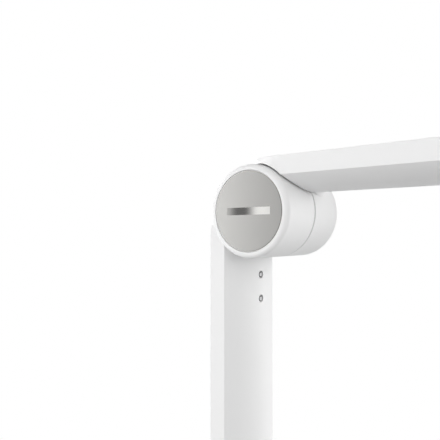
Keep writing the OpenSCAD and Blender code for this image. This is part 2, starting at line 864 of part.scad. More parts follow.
module status_led() color("white") {
    translate([-indicator_side / 2, pipe_y - indicator_side / 2, board_top])
        cube([indicator_side, indicator_side, indicator_h]);
}

module light_pipe() color("lightcyan") {
    translate([0, pipe_y, board_top + indicator_h]) {
        cylinder(h = base_height - board_top - indicator_h, r = pipe_r);
        cylinder(h = shell_in - board_top - indicator_h, r = pipe_r + 0.8);
    }
}

module usb_socket() color("silver") {
    translate([socket_x, socket_face - socket_length, board_top + socket_height / 2]) rotate([-90, 0, 0]) {
        difference() {
            linear_extrude(socket_length) soft_rect(socket_width, socket_height, socket_height / 2 - eps);
            translate([0, 0, 1]) linear_extrude(socket_length)
                soft_rect(socket_width - 2 * socket_sheet, socket_height - 2 * socket_sheet,
                    socket_height / 2 - socket_sheet - eps);
        }
        translate([-socket_tongue_w / 2, -socket_tongue_h / 2, 1 - eps])
            cube([socket_tongue_w, socket_tongue_h, socket_length - 2]);
    }
}

module scan_button() color("whitesmoke") {
    translate([0, button_y, 0]) {
        translate([0, 0, button_flange_low]) linear_extrude(button_flange_h)
            stadium_flat(scan_length + 2 * button_flange, button_width + 2 * button_flange);
        translate([0, 0, button_flange_low])
            stadium(scan_length, button_width, button_top - button_flange_low, button_edge);
        button_stem();
    }
}

module power_button() color("whitesmoke") {
    round_button(-button_spread);
}

module light_button() color("whitesmoke") {
    round_button(button_spread);
}

module post_housing() color("white") on_post() {
    difference() {
        bar_outside(post_length, 0);
        bar_hollow(post_length, post_length + 1, post_length + 1);
        x_rod(0, web_x + 1, bush_r);
        translate([cable_x, elbow_height - cable_z, 0])
            v_rod(0, bar_back, cable_radius + cable_hole_gap);
        translate([0, elbow_height - lock_screw_z, 0]) v_rod(0, bar_back, lock_screw_r + screw_gap);
    }
    bracket_bosses();
}

module post_cover() color("white") on_post() {
    bar_cover(post_length + lay_gap);
}

module post_foot() color("darkgray") on_post() {
    difference() {
        intersection() {
            along_bar(post_length - foot_height, post_length) bar_section(wall + lay_gap, ledge - lay_gap);
            translate([-foot_half, 0, 0]) cube([2 * foot_half, post_length + 1, bar_back]);
        }
        for (x = [-1, 1]) translate([x * foot_screw_x, post_length + 1, foot_screw_v]) rotate([90, 0, 0])
            cylinder(h = foot_screw_end - plate_top + 2, r = foot_screw_r + run_gap);
        translate([0, elbow_height - lock_screw_z, 0]) v_rod(0, bar_back + 1, lock_screw_r + run_gap);
    }
}

module foot_screws() color("gray") {
    for (x = [-1, 1]) translate([x * foot_screw_x, elbow_y + foot_screw_v, pad_thick])
        sunk_screw(foot_head_r, foot_screw_r, foot_screw_end - pad_thick);
}

module foot_lock_screw() color("gray") on_post() {
    translate([0, elbow_height - lock_screw_z, 0]) {
        v_rod(bar_belly - lock_head_h, bar_belly, lock_head_r);
        v_rod(bar_belly - eps, ledge - 2, lock_screw_r);
    }
}

module post_bracket() color("lightslategray") on_post() {
    hinge_bracket(shaft_radius + run_gap);
}

module post_bracket_screws() color("silver") on_post() {
    bracket_screws();
}

module post_cable() color("dimgray") on_post() {
    exit_u = elbow_height - cable_z;
    cable_run(
        [[nut_out, 0, 0], [cable_x, 0, 0], [cable_x, cable_corner, cable_v],
            [cable_x, exit_u, cable_v], [cable_x, exit_u, board_rear - elbow_y]],
        [cable_turn, cable_bend, cable_bend]
    );
}

module post_cap() color("silver") on_post() {
    hub_cap(0);
}

module hinge_bush() color("ivory") {
    translate([0, elbow_y, elbow_height]) x_ring(-web_x, -seam_x, bush_r, shaft_radius + run_gap);
}

module hinge_shaft() color("slategray") {
    translate([0, elbow_y, elbow_height]) difference() {
        union() {
            x_rod(-nut_out, flange_out, shaft_radius);
            x_rod(bracket_out, flange_out, flange_radius);
        }
        x_rod(-nut_out - 1, flange_out + 1, shaft_bore);
        flange_holes(bracket_out - 1, flange_out + 1, flange_screw_d / 2 + screw_gap);
    }
}

module seam_washer() color("ivory") {
    translate([0, elbow_y, elbow_height]) x_ring(-seam_x, seam_x, friction_radius, shaft_radius + run_gap);
}

module friction_washer() color("saddlebrown") {
    translate([0, elbow_y, elbow_height])
        x_ring(-friction_out, -bracket_out, friction_radius, shaft_radius + run_gap);
}

module disc_spring() color("steelblue") {
    translate([-friction_out, elbow_y, elbow_height]) rotate([0, -90, 0]) rotate_extrude() polygon([
        [shaft_radius + screw_gap, spring_height - spring_sheet], [spring_radius, 0],
        [spring_radius, spring_sheet], [shaft_radius + screw_gap, spring_height]
    ]);
}

module lock_nut() color("silver") {
    translate([-nut_out, elbow_y, elbow_height]) rotate([0, 90, 0]) difference() {
        cylinder(h = nut_thick, r = nut_radius, $fn = 6);
        translate([0, 0, -1]) cylinder(h = nut_thick + 2, r = shaft_radius + run_gap);
    }
}

module flange_screws() color("gray") on_arm() {
    flange_holes(flange_out, flange_out + flange_head_h, flange_head_r);
    flange_holes(web_x + lay_gap, flange_out + eps, flange_screw_d / 2);
}

module arm_housing() color("white") on_arm() {
    difference() {
        union() {
            intersection() {
                bar_outside(arm_reach, tip_round);
                arm_plan();
            }
            translate([0, camera_u, boss_face]) camera_boss();
        }
        difference() {
            bar_hollow(arm_reach, arm_reach - tip_solid, arm_cover_end);
            translate([0, camera_u, 0]) v_rod(0, boss_top, camera_boss_radius);
        }
        x_rod(0, web_x + 1, shaft_radius + run_gap);
        translate([0, camera_u, 0]) v_rod(0, bar_back, camera_bore);
        light_window(lay_gap);
    }
    bracket_bosses();
    led_supports();
    camera_posts();
}

// Plan of the arm: straight sides, wide enough for the hub, and a soft tip
module arm_plan() {
    tip_x = half_w - tip_corner + plan_ease;
    translate([0, 0, -big / 2]) linear_extrude(big) {
        translate([-big / 2, -big / 2]) square([big, big / 2 + arm_reach - 2 * tip_corner]);
        translate([-half_w, 0]) square([bar_width, arm_reach - tip_corner]);
        translate([-tip_x, 0]) square([2 * tip_x, arm_reach]);
        for (s = [-1, 1]) translate([s * tip_x, arm_reach - tip_corner]) circle(tip_corner);
    }
}

// Round boss under the arm tip, standing on its face
module camera_boss() {
    rotate_extrude() {
        square([camera_boss_radius - boss_edge, boss_top - boss_face]);
        translate([0, boss_edge]) square([camera_boss_radius, boss_top - boss_face - boss_edge]);
        translate([camera_boss_radius - boss_edge, boss_edge]) circle(boss_edge);
    }
}

// Opening for the light in the belly
module light_window(grow) {
    translate([0, (light_start + light_end) / 2, 0]) linear_extrude(inner_belly + light_width / 4)
        soft_rect(light_width + 2 * grow, light_length + 2 * grow, light_corner + grow);
}

// Rails and bosses that carry the light board
module led_supports() {
    intersection() {
        along_bar(light_start, light_end) bar_section(wall / 2, led_board_v);
        for (s = [-1, 1]) translate([s * (led_rib_in + led_rib_wide / 2) - led_rib_wide / 2, 0, 0])
            cube([led_rib_wide, light_end, led_board_v]);
    }
    for (u = [light_start - led_screw_off, light_end + led_screw_off]) translate([0, u, 0]) difference() {
        v_rod(bar_belly + wall / 2, led_board_v, led_screw_boss);
        v_rod(inner_belly, led_board_v + 1, small_screw_r + run_gap);
    }
}

// Posts that carry the camera board
module camera_posts() {
    low = belly_in(camera_boss_pitch) - wall / 2;
    for (x = [-1, 1], y = [-1, 1])
        translate([x * camera_boss_pitch, camera_u + y * camera_boss_pitch, 0]) difference() {
            v_rod(low, board_v, camera_post_r);
            v_rod(low + wall, board_v + 1, small_screw_r + run_gap);
        }
}

module arm_cover() color("white") on_arm() {
    bar_cover(arm_cover_end);
}

module arm_bracket() color("lightslategray") on_arm() {
    hinge_bracket(shaft_radius + run_gap);
}

module arm_bracket_screws() color("silver") on_arm() {
    bracket_screws();
}

module arm_cap() color("silver") on_arm() {
    hub_cap(90);
}

module arm_cable() color("dimgray") on_arm() {
    cable_run(
        [[-nut_out, 0, 0], [cable_x, 0, 0], [cable_x, cable_corner, cable_v],
            [cable_x, camera_cable_end, cable_v]],
        [cable_turn, cable_bend]
    );
}

module light_diffuser() color("floralwhite") on_arm() {
    intersection() {
        along_bar(light_start, light_end) diffuser_section(belly_r, belly_r - wall - lip_gap - eps);
        light_window(0);
    }
    along_bar(light_start + diffuser_lip, light_end - diffuser_lip) intersection() {
        diffuser_section(belly_r - wall - lip_gap, belly_r - wall - diffuser_lip);
        translate([-light_width / 2 - diffuser_lip, 0]) square([light_width + 2 * diffuser_lip, bar_back]);
    }
}

// Curved strip between two radii about the axis of the belly
module diffuser_section(outer, inner) {
    translate([0, belly_c]) difference() {
        intersection() {
            circle(outer, $fn = 240);
            translate([-half_w, -belly_r]) square([bar_width, belly_sag + 2 * wall]);
        }
        circle(inner, $fn = 240);
    }
}

module led_board() color("aliceblue") on_arm() {
    reach = led_screw_off + led_screw_boss;
    difference() {
        translate([-led_board_half, light_start - reach, led_board_v])
            cube([2 * led_board_half, light_length + 2 * reach, led_board_thick]);
        for (u = [light_start - led_screw_off, light_end + led_screw_off]) translate([0, u, 0])
            v_rod(led_board_v - 1, led_board_v + led_board_thick + 1, small_screw_r + screw_gap);
    }
}

module leds() color("khaki") on_arm() {
    pitch = light_length / led_count;
    for (i = [0 : led_count - 1])
        translate([-led_side / 2, light_start + pitch * (i + 0.5) - led_side / 2, led_board_v - led_high])
            cube([led_side, led_side, led_high]);
}

module led_board_screws() color("gray") on_arm() {
    for (u = [light_start - led_screw_off, light_end + led_screw_off]) translate([0, u, 0]) {
        v_rod(led_board_v + led_board_thick, led_board_v + led_board_thick + small_head_h, small_head_r);
        v_rod(inner_belly + 0.4, led_board_v + led_board_thick + eps, small_screw_r);
    }
}

module camera_bezel() color("black") on_arm() {
    translate([0, camera_u, 0]) difference() {
        union() {
            v_rod(bezel_face, bezel_top, camera_bore - lay_gap);
            v_rod(boss_top, bezel_top, bezel_wide);
        }
        translate([0, 0, bezel_face])
            cylinder(h = glass_seat - bezel_face, r1 = bezel_mouth, r2 = window_radius - glass_rim);
        v_rod(bezel_face - 1, bezel_face + eps, bezel_mouth);
        v_rod(glass_seat - eps, glass_seat + eps, window_radius - glass_rim);
        v_rod(glass_seat, bezel_top + 1, window_radius + lay_gap);
    }
}

module camera_window() color("lightblue") on_arm() {
    translate([0, camera_u, 0]) v_rod(glass_seat, glass_top, window_radius);
}

module lens_barrel() color("dimgray") on_arm() {
    translate([0, camera_u, 0]) difference() {
        v_rod(lens_low, lens_high, lens_radius);
        translate([0, 0, lens_low - eps])
            cylinder(h = lens_mouth_depth, r1 = lens_radius - lens_rim, r2 = lens_glass_radius + lay_gap);
        v_rod(lens_low, lens_glass_top, lens_glass_radius + lay_gap);
    }
}

module lens_glass() color("lightcyan") on_arm() {
    translate([0, camera_u, 0]) intersection() {
        v_rod(lens_low, lens_glass_top, lens_glass_radius);
        translate([0, 0, lens_low + lens_glass_set + lens_glass_curve]) sphere(lens_glass_curve);
    }
}

module lens_holder() color("black") on_arm() {
    translate([0, camera_u, 0]) difference() {
        translate([-holder_side / 2, -holder_side / 2, holder_low])
            cube([holder_side, holder_side, board_v - holder_low]);
        v_rod(holder_low - 1, lens_high, lens_radius + run_gap);
        translate([-sensor_side / 2 - 1, -sensor_side / 2 - 1, lens_high - eps])
            cube([sensor_side + 2, sensor_side + 2, board_v - lens_high + 1]);
    }
}

module image_sensor() color("darkslategray") on_arm() {
    translate([-sensor_side / 2, camera_u - sensor_side / 2, board_v - sensor_thick])
        cube([sensor_side, sensor_side, sensor_thick]);
}

module camera_board() color("green") on_arm() {
    difference() {
        translate([-camera_board_side / 2, camera_u - camera_board_side / 2, board_v])
            cube([camera_board_side, camera_board_side, board_thick]);
        for (x = [-1, 1], y = [-1, 1])
            translate([x * camera_boss_pitch, camera_u + y * camera_boss_pitch, 0])
                v_rod(board_v - 1, board_v + board_thick + 1, small_screw_r + screw_gap);
    }
}

module camera_board_screws() color("gray") on_arm() {
    for (x = [-1, 1], y = [-1, 1])
        translate([x * camera_boss_pitch, camera_u + y * camera_boss_pitch, 0]) {
            v_rod(board_v + board_thick, board_v + board_thick + small_head_h, small_head_r);
            v_rod(belly_in(camera_boss_pitch) + wall, board_v + board_thick + eps, small_screw_r);
        }
}

base_shell();
base_plate();
base_pad();
base_screws();
main_board();
board_standoffs();
board_screws();
tact_switches();
status_led();
light_pipe();
usb_socket();
scan_button();
power_button();
light_button();
post_housing();
post_cover();
post_foot();
foot_screws();
foot_lock_screw();
post_bracket();
post_bracket_screws();
post_cable();
post_cap();
hinge_bush();
hinge_shaft();
seam_washer();
friction_washer();
disc_spring();
lock_nut();
flange_screws();
arm_housing();
arm_cover();
arm_bracket();
arm_bracket_screws();
arm_cap();
arm_cable();
light_diffuser();
led_board();
leds();
led_board_screws();
camera_bezel();
camera_window();
lens_barrel();
lens_glass();
lens_holder();
image_sensor();
camera_board();
camera_board_screws();
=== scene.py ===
"""Looks of a book scanner with a folding arm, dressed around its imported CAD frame.

The frame brings every solid at its real size, in metres, with +Z up and the arm pointing to -Y.
This script gives each piece the finish of its real material, adds the contacts inside the supply
socket and the lip at the end of the arm's cover, and sets up the studio: a pale floor, soft light
and a camera at the photograph's angle.
"""

from __future__ import annotations

import logging
import math
from collections.abc import Mapping
from dataclasses import dataclass, field
from enum import Enum

import bmesh
import bpy
from mathutils import Matrix, Vector

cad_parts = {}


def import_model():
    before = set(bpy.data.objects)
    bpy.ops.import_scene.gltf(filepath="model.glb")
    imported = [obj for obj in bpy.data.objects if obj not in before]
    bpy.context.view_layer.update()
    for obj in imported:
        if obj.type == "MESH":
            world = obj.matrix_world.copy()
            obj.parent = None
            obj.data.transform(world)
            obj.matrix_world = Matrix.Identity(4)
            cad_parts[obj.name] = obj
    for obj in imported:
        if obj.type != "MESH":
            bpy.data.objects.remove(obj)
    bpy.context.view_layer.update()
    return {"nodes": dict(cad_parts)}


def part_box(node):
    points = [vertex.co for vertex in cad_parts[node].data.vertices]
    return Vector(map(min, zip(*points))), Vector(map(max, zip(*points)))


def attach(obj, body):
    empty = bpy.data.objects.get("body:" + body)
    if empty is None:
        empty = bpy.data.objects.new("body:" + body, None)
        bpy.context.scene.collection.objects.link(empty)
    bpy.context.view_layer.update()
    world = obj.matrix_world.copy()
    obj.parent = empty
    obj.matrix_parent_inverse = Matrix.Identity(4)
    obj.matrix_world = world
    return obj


LOG = logging.getLogger("book_scanner")
MM = 0.001
ELBOW_MM = (0.0, 22.8, 350.0)

Colour = tuple[float, float, float, float]
Point = tuple[float, float, float]
Tree = bpy.types.NodeTree
Node = bpy.types.Node
Socket = bpy.types.NodeSocket
Inputs = Mapping[str | int, object]

# A Mix node's sockets for numbers and for colours share their names, so they go by their places.
SHARE = 0
NUMBER_A, NUMBER_B, MIXED_NUMBER = 2, 3, 0
COLOUR_A, COLOUR_B, MIXED_COLOUR = 6, 7, 2


# Colours, scales and nodes


def linear(code: str) -> Colour:
    """Turn an sRGB colour into Blender's linear one.

    Args:
        code: six hex digits with a leading #.

    Returns:
        Red, green and blue in linear light, and full alpha.
    """
    parts = [int(code[i : i + 2], 16) / 255 for i in (1, 3, 5)]
    low, slope, offset, power = 0.04045, 12.92, 0.055, 2.4
    red, green, blue = (
        c / slope if c <= low else ((c + offset) / (1 + offset)) ** power for c in parts
    )
    return red, green, blue, 1.0


def dimmed(colour: Colour, share: float) -> Colour:
    """The same colour with less light."""
    return colour[0] * share, colour[1] * share, colour[2] * share, 1.0


def per_metre(size_mm: float) -> float:
    """Texture scale whose features are about size_mm wide."""
    return 1 / (size_mm * MM)


def metres(point_mm: Point) -> Point:
    """The same point in metres."""
    return point_mm[0] * MM, point_mm[1] * MM, point_mm[2] * MM


def feed(tree: Tree, node: Node, inputs: Inputs) -> None:
    """Set or link inputs of a node.

    Args:
        tree: the node's tree.
        node: the node.
        inputs: a value, or another node's output socket, for each named or numbered input.
    """
    for key, value in inputs.items():
        if isinstance(value, Socket):
            tree.links.new(value, node.inputs[key])
        else:
            node.inputs[key].default_value = value


def put(
    tree: Tree,
    kind: str,
    settings: Mapping[str, object] | None = None,
    inputs: Inputs | None = None,
) -> Node:
    """Add a node with its settings, values and links.

    Args:
        tree: the node tree that takes it.
        kind: the node's type name.
        settings: properties of the node itself.
        inputs: what goes into it, as for feed.

    Returns:
        The new node.
    """
    node = tree.nodes.new(kind)
    for name, value in (settings or {}).items():
        setattr(node, name, value)
    feed(tree, node, inputs or {})
    return node


@dataclass(frozen=True)
class Cloud:
    """A soft random pattern: the width of its patches, how many finer layers, and their bend."""

    size_mm: float
    layers: float = 3.0
    bend: float = 0.0

    def at(self, place: Socket) -> Inputs:
        """Say how a noise texture draws it.

        Args:
            place: the point on the piece.

        Returns:
            What the texture takes.
        """
        return {
            "Vector": place,
            "Scale": per_metre(self.size_mm),
            "Detail": self.layers,
            "Distortion": self.bend,
        }


# Finishes


@dataclass(frozen=True)
class Finish:
    """A real material and the way its surface was made."""

    name: str
    colour: str
    roughness: float

    def build(self) -> bpy.types.Material:
        """Make the Blender material.

        Returns:
            A material whose surface is one Principled shader.
        """
        material = bpy.data.materials.new(self.name)
        material.use_nodes = True
        tree = material.node_tree
        tree.nodes.clear()
        place = put(tree, "ShaderNodeTexCoord").outputs["Object"]
        shader = put(
            tree,
            "ShaderNodeBsdfPrincipled",
            inputs={"Base Color": linear(self.colour), "Roughness": self.roughness},
        )
        feed(tree, shader, self.detail(tree, place))
        put(tree, "ShaderNodeOutputMaterial", inputs={"Surface": shader.outputs[0]})
        return material

    def detail(self, tree: Tree, place: Socket) -> Inputs:
        """Draw what the eye sees of this surface.

        Args:
            tree: the material's node tree.
            place: the point on the piece, in metres of the row frame.

        Returns:
            What the shader takes.
        """
        raise NotImplementedError


@dataclass(frozen=True)
class MouldedPlastic(Finish):
    """Injection-moulded plastic from a spark-eroded tool.

    The tool leaves a fine matt grain, the flow of the melt a very faint change of tint and gloss,
    and the moulded edges are never sharp. Hands and packing rub those edges a little smoother.
    The real grain is about 0.05 mm and is drawn coarser, so that it shows at all.
    """

    ior: float = 1.53
    grain: Cloud = Cloud(0.5, 2.0)
    grain_depth_mm: float = 0.004
    flow: Cloud = Cloud(45.0)
    tint: float = 0.985
    gloss_swing: float = 0.05
    edge_mm: float = 0.3
    edge_samples: int = 6
    # Cosine of the lean at which an edge is rubbed most.
    edge_lean: float = 0.92
    edge_rub: float = 0.08

    def detail(self, tree: Tree, place: Socket) -> Inputs:
        """Draw grain, flow of the melt and soft, rubbed edges.

        Args:
            tree: the material's node tree.
            place: the point on the piece.

        Returns:
            What the shader takes.
        """
        flow = put(tree, "ShaderNodeTexNoise", inputs=self.flow.at(place)).outputs["Fac"]
        base = linear(self.colour)
        colour = put(
            tree,
            "ShaderNodeMix",
            {"data_type": "RGBA"},
            {SHARE: flow, COLOUR_A: dimmed(base, self.tint), COLOUR_B: base},
        )
        gloss = put(
            tree,
            "ShaderNodeMapRange",
            inputs={
                "Value": flow,
                "To Min": self.roughness - self.gloss_swing,
                "To Max": self.roughness + self.gloss_swing,
            },
        )
        edge = put(
            tree, "ShaderNodeBevel", {"samples": self.edge_samples}, {"Radius": self.edge_mm * MM}
        ).outputs["Normal"]
        flat = put(tree, "ShaderNodeNewGeometry").outputs["Normal"]
        lean = put(tree, "ShaderNodeVectorMath", {"operation": "DOT_PRODUCT"}, {0: edge, 1: flat})
        rub = put(
            tree,
            "ShaderNodeMapRange",
            inputs={
                "Value": lean.outputs["Value"],
                "From Min": 1.0,
                "From Max": self.edge_lean,
                "To Min": 0.0,
                "To Max": self.edge_rub,
            },
        )
        rubbed = put(
            tree,
            "ShaderNodeMath",
            {"operation": "SUBTRACT"},
            {0: gloss.outputs["Result"], 1: rub.outputs["Result"]},
        )
        grain = put(tree, "ShaderNodeTexNoise", inputs=self.grain.at(place)).outputs["Fac"]
        bump = put(
            tree,
            "ShaderNodeBump",
            inputs={"Height": grain, "Distance": self.grain_depth_mm * MM, "Normal": edge},
        )
        return {
            "Base Color": colour.outputs[MIXED_COLOUR],
            "Roughness": rubbed.outputs[0],
            "Normal": bump.outputs["Normal"],
            "IOR": self.ior,
        }


@dataclass(frozen=True)
class OpalPlastic(MouldedPlastic):
    """Plastic with a white filler that spreads light inside it, so that edges glow softly."""

    scatter_mm: float = field(kw_only=True)
    scatter: float = 0.6
    # A white filler spreads red, green and blue alike.
    scatter_colours: Point = (1.0, 1.0, 1.0)

    def detail(self, tree: Tree, place: Socket) -> Inputs:
        """Draw the moulded surface over a milky inside.

        Args:
            tree: the material's node tree.
            place: the point on the piece.

        Returns:
            What the shader takes.
        """
        return {
            **super().detail(tree, place),
            "Subsurface Weight": self.scatter,
            "Subsurface Radius": self.scatter_colours,
            "Subsurface Scale": self.scatter_mm * MM,
        }


class MetalMarks(Enum):
    """Marks that the making leaves in a metal, as their stretch along X, Y and Z."""

    EVEN = (1.0, 1.0, 1.0)
    DRAWN_ALONG_Y = (1.0, 0.04, 1.0)
    DRAWN_ALONG_Z = (1.0, 1.0, 0.04)


@dataclass(frozen=True)
class Metal(Finish):
    """A metal whose making left marks, which break up its gloss, and a faint change of tone."""

    worked: MetalMarks = MetalMarks.EVEN
    marks: Cloud = Cloud(0.4)
    mark_depth_mm: float = 0.001
    gloss_swing: float = 0.05
    tone: Cloud = Cloud(12.0, 2.0)
    tint: float = 0.93
    metallic: float = 1.0

    def spread(self, tree: Tree, place: Socket) -> Socket:
        """Stretch the marks along the way the metal was worked.

        Args:
            tree: the material's node tree.
            place: the point on the piece.

        Returns:
            The point that the marks are drawn at.
        """
        return put(
            tree,
            "ShaderNodeVectorMath",
            {"operation": "MULTIPLY"},
            {0: place, 1: self.worked.value},
        ).outputs["Vector"]

    def detail(self, tree: Tree, place: Socket) -> Inputs:
        """Draw the marks of the making, uneven gloss and tone.

        Args:
            tree: the material's node tree.
            place: the point on the piece.

        Returns:
            What the shader takes.
        """
        spread = self.spread(tree, place)
        marks = put(tree, "ShaderNodeTexNoise", inputs=self.marks.at(spread)).outputs["Fac"]
        gloss = put(
            tree,
            "ShaderNodeMapRange",
            inputs={
                "Value": marks,
                "To Min": self.roughness - self.gloss_swing,
                "To Max": self.roughness + self.gloss_swing,
            },
        )
        tone = put(tree, "ShaderNodeTexNoise", inputs=self.tone.at(place)).outputs["Fac"]
        base = linear(self.colour)
        colour = put(
            tree,
            "ShaderNodeMix",
            {"data_type": "RGBA"},
            {SHARE: tone, COLOUR_A: dimmed(base, self.tint), COLOUR_B: base},
        )
        bump = put(
            tree, "ShaderNodeBump", inputs={"Height": marks, "Distance": self.mark_depth_mm * MM}
        )
        return {
            "Base Color": colour.outputs[MIXED_COLOUR],
            "Metallic": self.metallic,
            "Roughness": gloss.outputs["Result"],
            "Normal": bump.outputs["Normal"],
        }


@dataclass(frozen=True)
class TurnedMetal(Metal):
    """Metal cut on a lathe: fine rings round its axis, on its faces as on its walls."""

    centre_mm: Point = ELBOW_MM
    axis: Point = (1.0, 0.0, 0.0)

    def spread(self, tree: Tree, place: Socket) -> Socket:
        """Draw the marks by distance from the axis and along it.

        Args:
            tree: the material's node tree.
            place: the point on the piece.

        Returns:
            The point that the marks are drawn at.
        """
        from_centre = put(
            tree,
            "ShaderNodeVectorMath",
            {"operation": "SUBTRACT"},
            {0: place, 1: metres(self.centre_mm)},
        ).outputs["Vector"]
        along, across = (
            put(tree, "ShaderNodeVectorMath", {"operation": way}, {0: from_centre, 1: self.axis})
            for way in ("DOT_PRODUCT", "CROSS_PRODUCT")
        )
        radius = put(
            tree, "ShaderNodeVectorMath", {"operation": "LENGTH"}, {0: across.outputs["Vector"]}
        )
        return put(
            tree,
            "ShaderNodeCombineXYZ",
            inputs={0: along.outputs["Value"], 1: radius.outputs["Value"]},
        ).outputs["Vector"]


@dataclass(frozen=True)
class SunkScrews(Metal):
    """A pair of plated screws at the bottom of their wells.

    The driver keeps the faces bright; the rims are painted a dull dark grey, as painted shade of
    the narrow gap round each head in its well.
    """

    middle_mm: Point = field(kw_only=True)
    row: Point = field(kw_only=True)
    pitch_mm: float = field(kw_only=True)
    face_mm: float = 1.05
    # Painted shade: the rims' dark grey stands in for the shade in the gap round each head.
    painted_shade_rim: str = "#808183"
    rim_roughness: float = 0.6

    def detail(self, tree: Tree, place: Socket) -> Inputs:
        """Part the bright faces from the rims, which carry painted shade, over the metal's marks.

        Args:
            tree: the material's node tree.
            place: the point on the piece.

        Returns:
            What the shader takes.
        """
        face = super().detail(tree, place)
        from_middle = put(
            tree,
            "ShaderNodeVectorMath",
            {"operation": "SUBTRACT"},
            {0: place, 1: metres(self.middle_mm)},
        ).outputs["Vector"]
        along = put(
            tree,
            "ShaderNodeVectorMath",
            {"operation": "DOT_PRODUCT"},
            {0: from_middle, 1: self.row},
        ).outputs["Value"]
        # Folded at the middle of the pair, both screws lie at the same place.
        folded = put(tree, "ShaderNodeMath", {"operation": "ABSOLUTE"}, {0: along}).outputs[0]
        off = put(
            tree,
            "ShaderNodeMath",
            {"operation": "SUBTRACT"},
            {0: folded, 1: self.pitch_mm * MM / 2},
        ).outputs[0]
        aside = put(tree, "ShaderNodeSeparateXYZ", inputs={0: from_middle}).outputs["X"]
        flat = put(tree, "ShaderNodeCombineXYZ", inputs={0: aside, 1: off}).outputs["Vector"]
        radius = put(tree, "ShaderNodeVectorMath", {"operation": "LENGTH"}, {0: flat})
        # Painted shade on the rims, outside the bright faces.
        on_painted_shade_rim = put(
            tree,
            "ShaderNodeMath",
            {"operation": "GREATER_THAN"},
            {0: radius.outputs["Value"], 1: self.face_mm * MM},
        ).outputs[0]
        colour = put(
            tree,
            "ShaderNodeMix",
            {"data_type": "RGBA"},
            {SHARE: on_painted_shade_rim, COLOUR_A: face["Base Color"], COLOUR_B: linear(self.painted_shade_rim)},
        )
        gloss = put(
            tree,
            "ShaderNodeMix",
            inputs={SHARE: on_painted_shade_rim, NUMBER_A: face["Roughness"], NUMBER_B: self.rim_roughness},
        )
        return {
            **face,
            "Base Color": colour.outputs[MIXED_COLOUR],
            "Roughness": gloss.outputs[MIXED_NUMBER],
        }


@dataclass(frozen=True)
class BluedSteel(Metal):
    """Hardened spring steel whose heat has left a film from blue to straw."""

    straw: str = "#8A7448"
    heat: Cloud = Cloud(8.0, 1.0)
    # Straw starts where the heat reaches the first share, and is full at the second.
    straw_from: float = 0.45
    straw_to: float = 0.7

    def detail(self, tree: Tree, place: Socket) -> Inputs:
        """Draw heat colours in soft clouds over the metal's marks.

        Args:
            tree: the material's node tree.
            place: the point on the piece.

        Returns:
            What the shader takes.
        """
        heat = put(tree, "ShaderNodeTexNoise", inputs=self.heat.at(place)).outputs["Fac"]
        film = put(
            tree,
            "ShaderNodeMapRange",
            inputs={"Value": heat, "From Min": self.straw_from, "From Max": self.straw_to},
        ).outputs["Result"]
        colour = put(
            tree,
            "ShaderNodeMix",
            {"data_type": "RGBA"},
            {SHARE: film, COLOUR_A: linear(self.colour), COLOUR_B: linear(self.straw)},
        )
        return {**super().detail(tree, place), "Base Color": colour.outputs[MIXED_COLOUR]}


